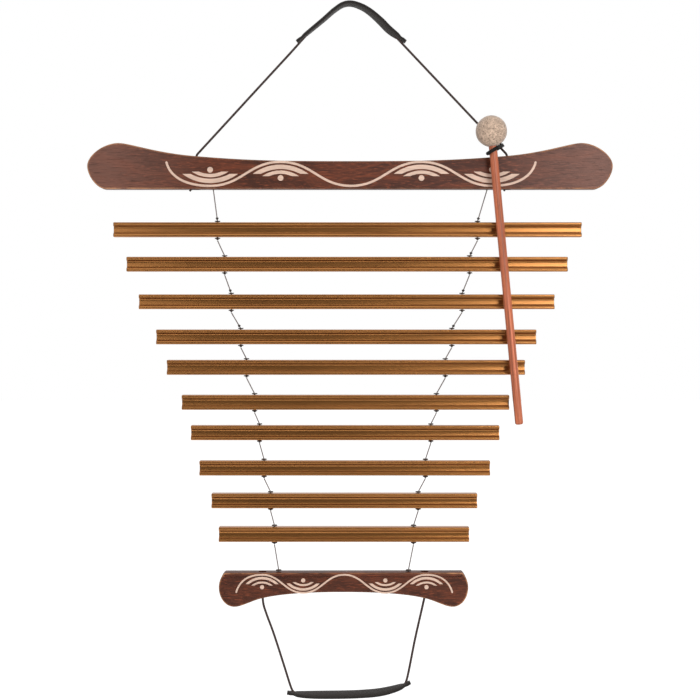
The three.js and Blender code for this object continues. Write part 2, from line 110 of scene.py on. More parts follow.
# Printed ornaments in mm, from the middle of each board's straight edge: how far they stand to the right,
# the wave's pitch, the heights of its low and high turns, its ends, and a motif of a dot and two arcs in a
# low turn. An arc holds its outer and inner radius, and the heights of its centre and of its cut ends.
HEAD_ORNAMENT = {
    "right": 1.1, "pitch": 76.1, "low": 3.3, "high": 29.2, "end": (199.6, 29.8), "line": 2.45,
    "first": "low", "dot": (3.1, 20.7), "arcs": ((35.2, 31.6, 47.8, 18.7), (50.4, 45.7, 56.7, 16.2)),
}
LOWER_ORNAMENT = {
    "right": 0.8, "pitch": 44.4, "low": -21.7, "high": -2.2, "end": (116.9, -21.9), "line": 1.8,
    "first": "high", "dot": (2.25, -8.3), "arcs": ((17.6, 15.6, 3.2, -10.1), (24.4, 21.8, 5, -11.6)),
}
# The wave's turns are counted from its middle one, which holds no motif
TURNS = range(-2, 3)
BARE_TURN = 0
PRINT_PROUD = 0.12 * MM
PRINT_SUNK = 0.1 * MM

# A bar's section and ends: its corner's arc and its lip's slope in degrees, the trough's exponent, how soft
# the trough's edge is across and down, and where the first rings of each end stand
CORNER_ARC = 120
LIP_SLOPE = 30
TROUGH_EXPONENT = 3
LIP_EDGE = (0.35 * MM, 0.2 * MM)
BAR_CHAMFER = 0.35 * MM
RING_AFTER_CHAMFER = 0.95 * MM
FIRST_BODY_RING = 2 * MM

# A bar hangs from the points that stay still as it sounds, at this share of its length from its ends
STILL_POINT_SHARE = 0.2215

# Washers, knots as (radius, height) and gaps along the ladder cords, and the bars with a second knot over
# the top washer, counted from the longest
WASHER_GAP = 0.3 * MM
WASHER_THICKNESS = 0.8 * MM
WASHER_DISH = 0.7 * MM
WASHER_BULGE = 0.12 * MM
WASHER_RISE = WASHER_GAP + WASHER_THICKNESS
UPPER_KNOT = (1.5 * MM, 3 * MM)
LOWER_KNOT = (1.45 * MM, 2.3 * MM)
UP_THE_SLANT = 3.3 * MM
UNDER_A_BAR = 3.3 * MM
CORD_GAP = 0.3 * MM
UPPER_KNOTS = {"left": (1, 3, 4), "right": (1, 2, 3, 4)}

# Knots inside the boards, as (radius, height), how far their middles stand above the face or floor below
# them, and where the ladder cords' cut ends stand
LADDER_END_KNOT, LADDER_END_RISE = (2.6 * MM, 4.2 * MM), 2.4 * MM
LADDER_CUT_RISE = 6.2 * MM
HANGER_KNOT, HANGER_KNOT_RISE = (3.1 * MM, 5.4 * MM), 3 * MM
HANDLE_KNOT, HANDLE_KNOT_RISE = (3 * MM, 4.8 * MM), 2.8 * MM

# Sides of the cords' tubes, and the distances between their rings
THIN_SIDES, THIN_STEP = 10, 0.9 * MM
THICK_SIDES, THICK_STEP = 14, 1.2 * MM

# Routes listed in mm, in the plane y = 0
HANGER_ROUTE = (
    (-166.7, -163.7), (-166.4, -162.3), (-165.4, -160.8), (-163, -158.2), (-140, -133.2), (-103, -92.9),
    (-66, -52.7), (-40.2, -24.6), (-27.6, -14.1), (-17.4, -5.2), (-7.6, 1.1), (0.8, 2.4), (12.2, -1),
    (21.9, -6.9), (33.1, -16.7), (42.8, -26.4), (70, -55.2), (105, -92.3), (140, -129.4), (167, -158),
    (169.2, -160.4), (170.1, -161.9), (170.3, -163.4),
)
UPPER_GRIP_LINE = ((-57.6, -39), *HANGER_ROUTE[7:16], (60.4, -39.2))
# The cut ends of the hanger cord below its knots, from the mouth of each counterbore
HANGER_TAILS = {
    "left": ((0, 2.4), (-3.4, 0.9), (-6.2, -0.2), (-7.3, -1.9)),
    "right": ((0, 2.4), (-1.7, 0.9), (-2.6, -0.4), (-2.7, -1.8)),
}
TAIL_RADIUS = 1.05 * MM
# The hand loop's routes are counted from the lower board's middle and its lower edge at their holes
HANDLE_ROUTE = (
    (-87.9, -0.3), (-86.9, -8.3), (-83.7, -18.4), (-76.4, -38.1), (-64.2, -75.7), (-57.2, -97.6),
    (-55.4, -101.6), (-52.2, -104.4), (-47.3, -105.7), (-14.7, -106.2), (17.9, -105.4), (39.6, -103.4),
    (55.9, -99.6), (62.6, -97.2), (66.8, -94), (68.6, -89.6), (77.9, -44.4), (86.4, -7), (87.9, -0.3),
)
LOWER_GRIP_LINE = ((-61.3, -103.8), *HANDLE_ROUTE[8:13], (66.7, -95.6), (72.4, -92.6))

# A grip's width and thickness at its very ends, where and how widely it is tied, and how it turns from its
# left to its right end, in degrees
GRIP_END = (6 * MM, 4.1 * MM)
GRIP_TIE, GRIP_TIE_SPREAD = 7 * MM, 2.6 * MM
UPPER_TWIST = (1, -50)
LOWER_TWIST = (18, 20)

# The mallet's dowel and lace: the radii of the lace's loop round the dowel and round the cord, the way
# between them, the lace's half thickness and half width, and in mm its tail and the stub that leaves it
# upwards
DOWEL_ROUNDING = 2.2 * MM
LACE_UNDER_BALL = 3.9 * MM
LACE_NEAR = 5.9 * MM
LACE_FAR = 3.8 * MM
LACE_RUN = 11.5 * MM
LACE_BAND = (0.7 * MM, 1.85 * MM)
LACE_TAIL = (2, -4, -9.6)
LACE_TAIL_GAP = 0.9 * MM
LACE_STUB = ((9.2, -4, 0.6), (10.6, -3.1, 2.2), (11.6, -2.7, 5.4))
LACE_STUB_RADIUS = 0.95 * MM

# A wave texture of the scale 1 repeats itself after this distance
WAVE_PERIOD = 0.314

# The lamps' names, places, sizes and powers in watts
LAMPS = (
    ("lamp_right", (0.68, -1.45, -0.02), (0.55, 1.2), 15),
    ("lamp_left", (-0.74, -1.45, -0.02), (0.5, 1.2), 4),
    ("lamp_top", (0, -0.5, 1.3), (1.6, 1.0), 6),
    ("lamp_low", (0, -0.95, -1.22), (1.8, 0.35), 4),
)


# Plain arithmetic

def linear(red, green, blue):
    """An sRGB colour from 0 to 255 as the linear values that Blender's sockets hold."""
    share = np.array((red, green, blue)) / 255
    return tuple(np.where(share <= 0.04045, share / 12.92, ((share + 0.055) / 1.055) ** 2.4))


def on_plane(points, x=0.0, z=0.0):
    """Pairs of x and z in mm as points in metres in the plane y = 0, moved by x and z metres."""
    flat = np.asarray(points, float) * MM
    return np.stack([flat[:, 0] + x, np.zeros(len(flat)), flat[:, 1] + z], axis=1)


def lengths_along(path):
    """The distance walked from the first point to each point of a path."""
    steps = np.linalg.norm(np.diff(path, axis=0), axis=1)
    return np.concatenate([[0], np.cumsum(steps)])


def smooth_path(points, step):
    """A centripetal Catmull-Rom curve through the points, with a point every `step` metres.

    Between two points the curve is a blend of the straight lines through the four nearest points, and the
    share of each line follows the square roots of the distances between them.
    """
    ends = (2 * points[0] - points[1], 2 * points[-1] - points[-2])
    p = np.concatenate([ends[:1], points, ends[1:]])
    knots = np.concatenate([[0], np.cumsum(np.linalg.norm(np.diff(p, axis=0), axis=1) ** 0.5)])
    t0, t1, t2, t3 = (knots[i:len(knots) - 3 + i, None, None] for i in range(4))
    p0, p1, p2, p3 = (p[i:len(p) - 3 + i, None] for i in range(4))
    t = t1 + (t2 - t1) * np.linspace(0, 1, 24)[None, :, None]
    a1 = (t1 - t) / (t1 - t0) * p0 + (t - t0) / (t1 - t0) * p1
    a2 = (t2 - t) / (t2 - t1) * p1 + (t - t1) / (t2 - t1) * p2
    a3 = (t3 - t) / (t3 - t2) * p2 + (t - t2) / (t3 - t2) * p3
    b1 = (t2 - t) / (t2 - t0) * a1 + (t - t0) / (t2 - t0) * a2
    b2 = (t3 - t) / (t3 - t1) * a2 + (t - t1) / (t3 - t1) * a3
    curve = (t2 - t) / (t2 - t1) * b1 + (t - t1) / (t2 - t1) * b2
    dense = np.concatenate([curve[:, :-1].reshape(-1, p.shape[1]), points[-1:]])
    return evenly(dense, step)


def evenly(path, step):
    """The same path with its points spaced evenly, about `step` apart."""
    walked = lengths_along(path)
    wanted = np.linspace(0, walked[-1], max(2, round(walked[-1] / step) + 1))
    return np.stack([np.interp(wanted, walked, path[:, axis]) for axis in range(path.shape[1])], axis=1)


def bezier(a, b, c, d, steps):
    """Points of the cubic that leaves a towards b and arrives at d from c."""
    t = np.linspace(0, 1, steps + 1)[:, None]
    a, b, c, d = (np.asarray(point, float) for point in (a, b, c, d))
    return (1 - t) ** 3 * a + 3 * (1 - t) ** 2 * t * b + 3 * (1 - t) * t ** 2 * c + t ** 3 * d


def angles_round(sides):
    """The angles of a regular polygon's corners."""
    return np.arange(sides) / sides * 2 * math.pi


def circle(radius, sides):
    """Corners of a regular polygon that stands for a circle."""
    angle = angles_round(sides)
    return np.stack([radius * np.cos(angle), radius * np.sin(angle)], axis=1)


# Surfaces

def sweep(path, section, across=(0, 1, 0), closed=False):
    """Carries a section along a path that lies in a plane square to `across`.

    A corner of the section stands at path + first * n + second * across, where n is square to the path and to
    `across`. The section may change from one point of the path to the next. A closed path's last point
    repeats its first, and the surface's last ring repeats its first too.
    """
    if closed:
        path = path[:-1]
        tangent = np.roll(path, -1, axis=0) - np.roll(path, 1, axis=0)
    else:
        tangent = np.gradient(path, axis=0)
    tangent /= np.linalg.norm(tangent, axis=1, keepdims=True)
    side = np.asarray(across, float)
    normal = np.cross(side, tangent)
    section = np.broadcast_to(section, (len(path),) + np.shape(section)[-2:])
    grid = path[:, None] + section[..., :1] * normal[:, None] + section[..., 1:] * side
    return np.concatenate([grid, grid[:1]]) if closed else grid


def tube(path, diameter, sides, step):
    """A round cord along straight stretches, with a ring every `step` metres."""
    return sweep(evenly(np.asarray(path, float), step), circle(diameter / 2, sides))


def turned(profile, centre, sides, axis=(0, 0, 1)):
    """A body turned about an axis through `centre`: each (radius, height) pair becomes a ring."""
    profile = np.asarray(profile, float)
    up = np.asarray(axis, float) / np.linalg.norm(axis)
    first = np.cross((0, 1, 0), up)
    first = first / np.linalg.norm(first) if np.linalg.norm(first) > 0.1 else np.array((1.0, 0, 0))
    second = np.cross(up, first)
    unit = circle(1, sides)
    spokes = unit[:, :1] * first + unit[:, 1:] * second
    heights = np.asarray(centre, float) + profile[:, None, 1:] * up
    return heights + profile[:, None, :1] * spokes[None]


def knot(centre, radius, height):
    """A tight overhand knot: an egg with lobes along rising spirals.

    The egg's radius is the sine of the way up to the power 0.6. It swells and shrinks twice a turn, and more
    weakly five times a turn along a steeper spiral the other way.
    """
    share = np.linspace(0.02, 0.98, 19)[:, None]
    angle = angles_round(28)
    lobes = 1 + 0.16 * np.cos(2 * angle - 9 * share) + 0.06 * np.cos(5 * angle + 14 * share)
    spread = radius * np.sin(math.pi * share) ** 0.6 * lobes
    rise = np.broadcast_to((share - 0.5) * height, spread.shape)
    offset = np.stack([spread * np.cos(angle), spread * np.sin(angle), rise], axis=-1)
    return np.asarray(centre, float) + offset


def corners_of(rows):
    """The four corners of each face between neighbouring rows, whose last column repeats the first."""
    return np.stack((rows[:-1, :-1], rows[:-1, 1:], rows[1:, 1:], rows[1:, :-1]), axis=2)


def outward(grid):
    """The grid with its rings turned the other way if its faces would look inwards.

    They do if the volume of all the pyramids from the middle to the faces comes out negative.
    """
    centred = grid - grid.mean(axis=(0, 1))
    rows = np.concatenate([centred, centred[:, :1]], axis=1)
    a, b, c, d = np.moveaxis(corners_of(rows), 2, 0)
    volume = np.sum(a * (np.cross(b, c) + np.cross(c, d)))
    for ring, sign in ((rows[0], -1), (rows[-1], 1)):
        volume += sign * np.sum(ring.mean(axis=0) * np.cross(ring[:-1], ring[1:]))
    return grid if volume > 0 else grid[:, ::-1]


def faces_of(grid, offset):
    """A grid's points, faces and UV corners. Its rings close on themselves, and a face closes each end.

    The last ring of a body that runs round in a circle repeats the first, and such a body has no ends. The UV
    map holds the distances walked along the rows and round the rings, in metres.
    """
    grid = outward(grid)
    rows, columns = grid.shape[:2]
    walked = lengths_along(grid.mean(axis=1))
    turned_by = lengths_along(np.concatenate([grid[rows // 2], grid[rows // 2, :1]]))
    spots = np.stack(np.broadcast_arrays(walked[:, None], turned_by[None]), axis=-1)
    numbers = offset + np.arange(rows * columns).reshape(rows, columns)
    runs_round = np.allclose(grid[0], grid[-1], atol=1e-9)
    if runs_round:
        numbers[-1] = numbers[0]
        grid = grid[:-1]
    around = np.concatenate([numbers, numbers[:, :1]], axis=1)
    faces = corners_of(around[..., None])[..., 0].reshape(-1, 4).tolist()
    uvs = [corners_of(spots).reshape(-1, 2)]
    if not runs_round:
        faces += [numbers[0, ::-1].tolist(), numbers[-1].tolist()]
        uvs += [spots[0, :-1][::-1], spots[-1, :-1]]
    return grid.reshape(-1, 3), faces, np.concatenate(uvs)


def added(name, data):
    """A new object in the scene."""
    made = bpy.data.objects.new(name, data)
    bpy.context.scene.collection.objects.link(made)
    return made


def piece(name, parts, materials, body, replaces=(), sharp=40, attributes=None):
    """Makes one object of several parts, each a grid and a material's number, and lets it ride on a body."""
    points, faces, uvs, slots = [], [], [], []
    for grid, index in parts:
        new_points, new_faces, new_uvs = faces_of(grid, sum(map(len, points)))
        points.append(new_points)
        faces += new_faces
        uvs.append(new_uvs)
        slots += [index] * len(new_faces)
    mesh = bpy.data.meshes.new(name)
    mesh.from_pydata(np.concatenate(points).tolist(), [], faces)
    layer = mesh.uv_layers.new(name="UVMap")
    layer.data.foreach_set("uv", np.concatenate(uvs).astype(np.float32).ravel())
    mesh.polygons.foreach_set("material_index", slots)
    mesh.polygons.foreach_set("use_smooth", [True] * len(faces))
    mesh.set_sharp_from_angle(angle=math.radians(sharp))
    for key, values in (attributes or {}).items():
        attribute = mesh.attributes.new(key, "FLOAT", "POINT")
        attribute.data.foreach_set("value", np.asarray(values, np.float32))
    for each in materials:
        mesh.materials.append(each)
    made = added(name, mesh)
    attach(made, body)
    if replaces:
        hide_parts(*replaces)
    return made


# Material nodes

def node(tree, kind, sockets=None, **settings):
    """Adds a shader node, sets its settings, and links or sets its sockets."""
    made = tree.nodes.new(kind)
    for key, value in settings.items():
        setattr(made, key, value)
    for key, value in (sockets or {}).items():
        if isinstance(value, bpy.types.NodeSocket):
            tree.links.new(value, made.inputs[key])
        else:
            made.inputs[key].default_value = value
    return made


def arithmetic(tree, operation, first, second=0.0):
    """One step of arithmetic on single values."""
    return node(tree, "ShaderNodeMath", {0: first, 1: second}, operation=operation).outputs[0]


def placed_points(tree, source, scale, turn):
    """Points turned and then stretched by a scale on each axis."""
    turned_points = node(tree, "ShaderNodeMapping", {"Vector": source, "Rotation": turn}).outputs[0]
    return node(tree, "ShaderNodeMapping", {"Vector": turned_points, "Scale": scale}).outputs[0]


def object_points(tree, scale=(1, 1, 1), turn=(0, 0, 0)):
    """Object coordinates in metres, turned and then stretched."""
    return placed_points(tree, node(tree, "ShaderNodeTexCoord").outputs["Object"], scale, turn)


def noise(tree, scale, detail, roughness, turn=(0, 0, 0), shift=None):
    """Fractal noise with `scale` cells to the metre on each axis of the turned object, moved by a shift."""
    points = object_points(tree, scale, turn)
    if shift is not None:
        points = node(tree, "ShaderNodeVectorMath", {0: points, 1: shift}, operation="ADD").outputs[0]
    sockets = {"Vector": points, "Scale": 1.0, "Detail": detail, "Roughness": roughness}
    return node(tree, "ShaderNodeTexNoise", sockets).outputs["Fac"]


def strands(tree, scale, slants, distortion, detail, detail_scale):
    """Wavy bands across the piece's own UV map, one family for each slant in degrees."""
    source = node(tree, "ShaderNodeUVMap", uv_map="UVMap").outputs[0]
    sockets = {"Scale": 1.0, "Distortion": distortion, "Detail": detail, "Detail Scale": detail_scale}
    waves = []
    for slant in slants:
        points = placed_points(tree, source, (scale, scale, 1), (0, 0, math.radians(slant)))
        waves.append(node(tree, "ShaderNodeTexWave", {"Vector": points, **sockets}).outputs["Fac"])
    return waves


def ramp(tree, factor, *stops):
    """A colour ramp through (position, colour) stops, each colour linear with three values."""
    made = node(tree, "ShaderNodeValToRGB", {"Fac": factor})
    elements = made.color_ramp.elements
    while len(elements) < len(stops):
        elements.new(0.5)
    for element, (position, stop_colour) in zip(elements, stops):
        element.position = position
        element.color = (*stop_colour, 1)
    return made.outputs["Color"]


def mixed(tree, factor, first, second):
    """Two colours mixed by a factor; either may be a socket or a linear colour."""
    made = node(tree, "ShaderNodeMix", data_type="RGBA")
    for index, value in ((0, factor), (6, first), (7, second)):
        socket = made.inputs[index]
        if isinstance(value, bpy.types.NodeSocket):
            tree.links.new(value, socket)
        else:
            socket.default_value = value if index == 0 else (*value[:3], 1)
    return made.outputs[2]


def ranged(tree, value, low, high, to_low, to_high):
    """A value mapped from one range to another, held inside it."""
    sockets = {"Value": value, "From Min": low, "From Max": high, "To Min": to_low, "To Max": to_high}
    return node(tree, "ShaderNodeMapRange", sockets).outputs[0]


def tinted(tree, tone, pattern, low, high, share, towards):
    """A tone mixed with a colour, whose share grows from nothing as the pattern goes from low to high."""
    return mixed(tree, ranged(tree, pattern, low, high, 0, share), tone, towards)


def shaded(colour, factor):
    """A linear colour made darker or lighter, by one factor or by one for each channel."""
    return tuple(np.array(colour[:3]) * factor)


def new_material(name, **shader):
    """A material with one Principled shader, whose sockets are named with underscores for spaces."""
    made = bpy.data.materials.new(name)
    made.use_nodes = True
    for key, value in shader.items():
        made.node_tree.nodes["Principled BSDF"].inputs[key.replace("_", " ")].default_value = value
    return made, made.node_tree


def fed(made, tone, roughness=None, height=None, strength=0.0, distance=0.0):
    """The material with its colour, its roughness and a raised pattern linked to its shader."""
    tree = made.node_tree
    inputs = tree.nodes["Principled BSDF"].inputs
    tree.links.new(tone, inputs["Base Color"])
    if roughness is not None:
        tree.links.new(roughness, inputs["Roughness"])
    if height is not None:
        bump = node(tree, "ShaderNodeBump", {"Height": height, "Strength": strength, "Distance": distance})
        tree.links.new(bump.outputs[0], inputs["Normal"])
    return made


# Materials

def board_wood(colours):
    """Dark open-grained hardwood: streaks, slanting clouds, short pale fibres, ends paler partly from wear
    and partly as a painted sheen, pores and wear.
    """
    made, tree = new_material("board_wood", Specular_IOR_Level=0.24)
    base = colours.wood
    bend = noise(tree, (9, 20, 20), 2, 0.5)
    drift = node(tree, "ShaderNodeCombineXYZ", {"Z": ranged(tree, bend, 0.3, 0.7, -1.6, 1.6)}).outputs[0]
    streaks = noise(tree, (6, 70, 95), 6, 0.66, shift=drift)
    clouds = noise(tree, (14, 30, 75), 4, 0.6, turn=(0, math.radians(-12), 0))
    fibres = noise(tree, (130, 700, 900), 3, 0.65)
    pores = noise(tree, (75, 1100, 1300), 2, 0.6)
    along = node(tree, "ShaderNodeSeparateXYZ", {"Vector": object_points(tree)}).outputs["X"]
    from_middle = arithmetic(tree, "ABSOLUTE", along)
    tone = ramp(tree, streaks, (0.32, shaded(base, 0.42)), (0.47, shaded(base, 0.85)),
                (0.56, shaded(base, 1.15)), (0.68, shaded(base, (1.9, 1.65, 1.35))))
    tone = tinted(tree, tone, clouds, 0.48, 0.7, 0.55, shaded(base, (1.75, 1.6, 1.45)))
    tone = tinted(tree, tone, clouds, 0.48, 0.3, 0.7, shaded(base, 0.45))
    tone = tinted(tree, tone, fibres, 0.54, 0.66, 0.75, shaded(base, (3, 2.8, 2.7)))
    # Paler and greyer towards both ends: partly worn wood, partly a painted sheen of the lamps along the
    # board's ends.
    tone = tinted(tree, tone, from_middle, 0.15, 0.26, 0.6, shaded(base, (2.7, 4.9, 8.6)))
    tone = tinted(tree, tone, pores, 0.54, 0.7, 0.65, shaded(base, 0.32))
    wear = node(tree, "ShaderNodeAttribute", attribute_name="wear").outputs["Fac"]
    patchy = noise(tree, (80, 200, 200), 4, 0.65)
    worn = arithmetic(tree, "MULTIPLY", wear, ranged(tree, patchy, 0.36, 0.62, 0.12, 1))
    tone = mixed(tree, worn, tone, colours.worn_edge)
    relief = arithmetic(tree, "SUBTRACT", pores, streaks)
    return fed(made, tone, ranged(tree, fibres, 0.3, 0.7, 0.52, 0.38), relief, 0.3, 0.0002)


def printed_line(colours):
    """Cream-pink print, a little uneven where the grain shows through."""
    made, tree = new_material("printed_line", Roughness=0.55)
    grain = noise(tree, (60, 700, 700), 3, 0.6)
    tone = ramp(tree, grain, (0.34, shaded(colours.print, 0.8)), (0.6, colours.print))
    return fed(made, tone, None, grain, 0.12, 0.0001)


def satin_extrusion(colours):
    """Satin anodised bar with fine lines along it from the extrusion die."""
    made, tree = new_material(
        "satin_extrusion", Metallic=1.0, Coat_Weight=0.25, Coat_Roughness=0.22, Coat_IOR=1.5)
    lines = noise(tree, (1.2, 1100, 1100), 2, 0.5)
    clouds = noise(tree, (14, 40, 40), 3, 0.55)
    tone = ramp(tree, clouds, (0.3, shaded(colours.metal, 0.9)), (0.7, shaded(colours.metal, 1.08)))
    tone = tinted(tree, tone, lines, 0.65, 0.35, 0.07, shaded(colours.metal, 0.6))
    return fed(made, tone, ranged(tree, lines, 0.3, 0.7, 0.27, 0.3), lines, 0.01, 0.00002)


def braided(name, base, pitch):
    """A round braid: two families of strands cross the cord's surface on opposite slants."""
    made, tree = new_material(name, Roughness=0.85, Specular_IOR_Level=0.25)
    weave = arithmetic(tree, "MAXIMUM", *strands(tree, WAVE_PERIOD / pitch, (38, -38), 0.6, 1.0, 2.0))
    fuzz = noise(tree, (2500, 2500, 2500), 3, 0.6)
    tone = ramp(tree, weave, (0.25, shaded(base, 0.6)), (0.75, shaded(base, 1.15)))
    tone = tinted(tree, tone, fuzz, 0.45, 0.7, 0.3, shaded(base, 1.6))
    return fed(made, tone, None, weave, 0.4, 0.00018)


def dark_washer(colours):
    """Thin dark washer, slightly polished by the cord."""
    made, tree = new_material("dark_washer", Metallic=0.6)
    spots = noise(tree, (700, 700, 700), 3, 0.6)
    tone = ramp(tree, spots, (0.3, shaded(colours.washer, 0.7)), (0.7, shaded(colours.washer, 1.3)))
    return fed(made, tone, ranged(tree, spots, 0.3, 0.7, 0.35, 0.55))


def grip_cloth(colours):
    """Charcoal webbing with a close weave, a short fuzz and a dark sewn edge."""
    made, tree = new_material(
        "grip_cloth", Roughness=0.92, Specular_IOR_Level=0.2, Sheen_Weight=0.25, Sheen_Roughness=0.5)
    base = colours.grip
    weave = arithmetic(tree, "MULTIPLY", *strands(tree, 420, (0, 90), 1.2, 2.0, 1.5))
    fuzz = noise(tree, (1800, 1800, 1800), 4, 0.65)
    patches = noise(tree, (60, 90, 90), 3, 0.5)
    sewn = node(tree, "ShaderNodeAttribute", attribute_name="sewn_edge").outputs["Fac"]
    tone = ramp(tree, weave, (0.05, shaded(base, 0.75)), (0.8, shaded(base, 1.15)))
    tone = tinted(tree, tone, fuzz, 0.42, 0.7, 0.25, shaded(base, 1.6))
    tone = tinted(tree, tone, patches, 0.4, 0.7, 0.3, shaded(base, 0.6))
    tone = tinted(tree, tone, sewn, 0, 1, 0.75, shaded(base, 0.3))
    return fed(made, tone, None, arithmetic(tree, "ADD", weave, fuzz), 0.5, 0.0003)


def speckled_ball(colours):
    """Pressed cork-like ball: close pale grains with fine dark specks and a few open pits."""
    made, tree = new_material(
        "speckled_ball", Roughness=0.9, Specular_IOR_Level=0.2, Sheen_Weight=0.6, Sheen_Roughness=0.4)
    base = colours.ball
    sockets = {"Vector": object_points(tree), "Scale": 480.0, "Randomness": 1.0}
    cells = node(tree, "ShaderNodeTexVoronoi", sockets).outputs["Color"]
    grain = node(tree, "ShaderNodeSeparateColor", {"Color": cells}).outputs[0]
    specks = noise(tree, (720, 720, 720), 3, 0.6)
    clouds = noise(tree, (150, 150, 150), 4, 0.6)
    tone = ramp(tree, grain, (0.0, shaded(base, 0.72)), (1.0, shaded(base, 1.18)))
    tone = tinted(tree, tone, clouds, 0.45, 0.7, 0.4, shaded(base, 0.62))
    tone = tinted(tree, tone, specks, 0.55, 0.62, 0.85, shaded(base, 0.3))
    return fed(made, tone, None, arithmetic(tree, "SUBTRACT", grain, specks), 0.5, 0.0004)


def dowel_wood(colours, tilt):
    """Reddish dowel with close grain along it, broad bands and darker flecks."""
    made, tree = new_material("dowel_wood", Specular_IOR_Level=0.4)
    base = colours.dowel
    turn = (0, tilt, 0)
    grain = noise(tree, (520, 520, 10), 4, 0.65, turn)
    flecks = noise(tree, (1300, 1300, 130), 2, 0.6, turn)
    bands = noise(tree, (60, 60, 22), 3, 0.5, turn)
    tone = ramp(tree, grain, (0.36, shaded(base, 0.55)), (0.5, base), (0.64, shaded(base, 1.4)))
    tone = tinted(tree, tone, bands, 0.45, 0.7, 0.3, shaded(base, 0.7))
    tone = tinted(tree, tone, flecks, 0.6, 0.72, 0.5, shaded(base, 0.45))
    return fed(made, tone, ranged(tree, grain, 0.3, 0.7, 0.48, 0.36), grain, 0.12, 0.0002)


def flat_lace(colours):
    """Black leather-like lace with a soft grain."""
    made, tree = new_material("flat_lace", Roughness=0.75, Specular_IOR_Level=0.2)
    grain = noise(tree, (900, 900, 900), 4, 0.6)
    tone = ramp(tree, grain, (0.35, shaded(colours.lace, 0.7)), (0.7, shaded(colours.lace, 1.5)))
    return fed(made, tone, None, grain, 0.4, 0.0002)


MATERIAL_MAKERS = {
    "board_wood": board_wood,
    "printed_line": printed_line,
    "satin_extrusion": satin_extrusion,
    "thick_braid": lambda colours: braided("thick_braid", colours.thick_cord, 1.3 * MM),
    "thin_braid": lambda colours: braided("thin_braid", colours.thin_cord, 0.8 * MM),
    # The ladder knots: the thin cord's own braid at a quarter of its brightness, a painted shade for the
    # shade in the knots' tight folds
    "shaded_knot_braid": lambda colours: braided("shaded_knot_braid", shaded(colours.thin_cord, 0.25), 0.8 * MM),
    "dark_washer": dark_washer,
    "grip_cloth": grip_cloth,
    "speckled_ball": speckled_ball,
    "flat_lace": flat_lace,
}


def material(context, name):
    """The named material, made the first time that a piece asks for it."""
    found = bpy.data.materials.get(name)
    return found or MATERIAL_MAKERS[name](context.scene.chime_colours)


# Boards

def middle_of(name):
    """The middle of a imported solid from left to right."""
    low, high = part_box(name)
    return (low.x + high.x) / 2


def half_outline(anchors):
    """Half of a board's outline: cubic stretches from anchor to anchor."""
    stretches = []
    for (start, _, after), (end, before, _) in zip(anchors, anchors[1:]):
        start, after, end, before = (np.array(pair, float) for pair in (start, after, end, before))
        stretches.append(bezier(start, start + after, end + before, end, OUTLINE_STEPS)[:-1])
    return np.concatenate(stretches + [np.array([anchors[-1][0]], float)])


def edge_height(anchors, distance):
    """How high the curved edge stands over the straight one at a distance from the middle, in metres."""
    half = half_outline(anchors)
    rising = half[: np.argmax(half[:, 0]) + 1]
    return float(np.interp(abs(distance) / MM, rising[:, 0], rising[:, 1])) * MM


def board_grid(anchors, thickness, edge):
    """A plank's surface, whose outline is drawn in along its rounded edges.

    At the angle a an edge lies r (1 - sin a) inside the outline and T/2 - r (1 - cos a) off the middle plane.
    The first and last two rings lie on the flat faces, further in. Also gives how worn each point is: most on
    the round edges, and more towards the ends, where hands hold the plank.
    """
    half = half_outline(anchors) * MM
    outline = np.concatenate([half, (half * (-1, 1))[::-1][1:-1]])
    outline = evenly(np.concatenate([outline, outline[:1]]), OUTLINE_SPACING)[:-1]
    ahead = np.roll(outline, -1, axis=0) - np.roll(outline, 1, axis=0)
    ahead /= np.linalg.norm(ahead, axis=1, keepdims=True)
    outwards = np.stack([ahead[:, 1], -ahead[:, 0]], axis=1)
    area = np.sum(outline[:, 0] * np.roll(outline[:, 1], -1) - outline[:, 1] * np.roll(outline[:, 0], -1))
    if area > 0:
        outline, outwards = outline[::-1], outwards[::-1]
    else:
        outwards = -outwards
    angles = np.radians(np.linspace(0, 90, 6))
    inset = np.concatenate([[FACE_RINGS[0], edge + FACE_RINGS[1]], edge * (1 - np.sin(angles))])
    depth = np.concatenate([[thickness / 2] * 2, thickness / 2 - edge * (1 - np.cos(angles))])
    wear = np.array([0, 0, 0.12, 0.6, 1, 0.6, 0.2, 0])
    inset = np.concatenate([inset, [0], inset[::-1]])
    depth = np.concatenate([-depth, [0], depth[::-1]])
    wear = np.concatenate([wear, [0], wear[::-1]])
    towards_end = np.abs(outline[:, 0]) / np.abs(outline[:, 0]).max()
    handled = 0.3 + 0.7 * np.clip((towards_end - 0.55) / 0.3, 0, 1)
    flat = outline[None] - inset[:, None, None] * outwards[None]
    grid = np.stack([flat[..., 0], np.broadcast_to(depth[:, None], flat.shape[:2]), flat[..., 1]], axis=-1)
    return grid, np.outer(wear, handled).ravel()


def carve(board, holes):
    """Cuts round holes into a board; each hole is (x, low z, high z, radius)."""
    drills = []
    for x, low, high, radius in holes:
        mesh = bpy.data.meshes.new("drill")
        points, faces, _ = faces_of(turned([(radius, low), (radius, high)], (x, 0, 0), 40), 0)
        mesh.from_pydata(points.tolist(), [], faces)
        mesh.materials.append(board.data.materials[0])
        drills.append(added("drill", mesh))
        cut = board.modifiers.new("hole", "BOOLEAN")
        cut.operation = "DIFFERENCE"
        cut.solver = "MANIFOLD"
        cut.object = drills[-1]
    bpy.context.view_layer.update()
    depsgraph = bpy.context.evaluated_depsgraph_get()
    carved = bpy.data.meshes.new_from_object(
        board.evaluated_get(depsgraph), preserve_all_data_layers=True, depsgraph=depsgraph)
    if not carved.polygons:
        raise RuntimeError(f"nothing is left of {board.name} after its holes are cut")
    board.modifiers.clear()
    board.data = carved
    for drill in drills:
        bpy.data.objects.remove(drill)


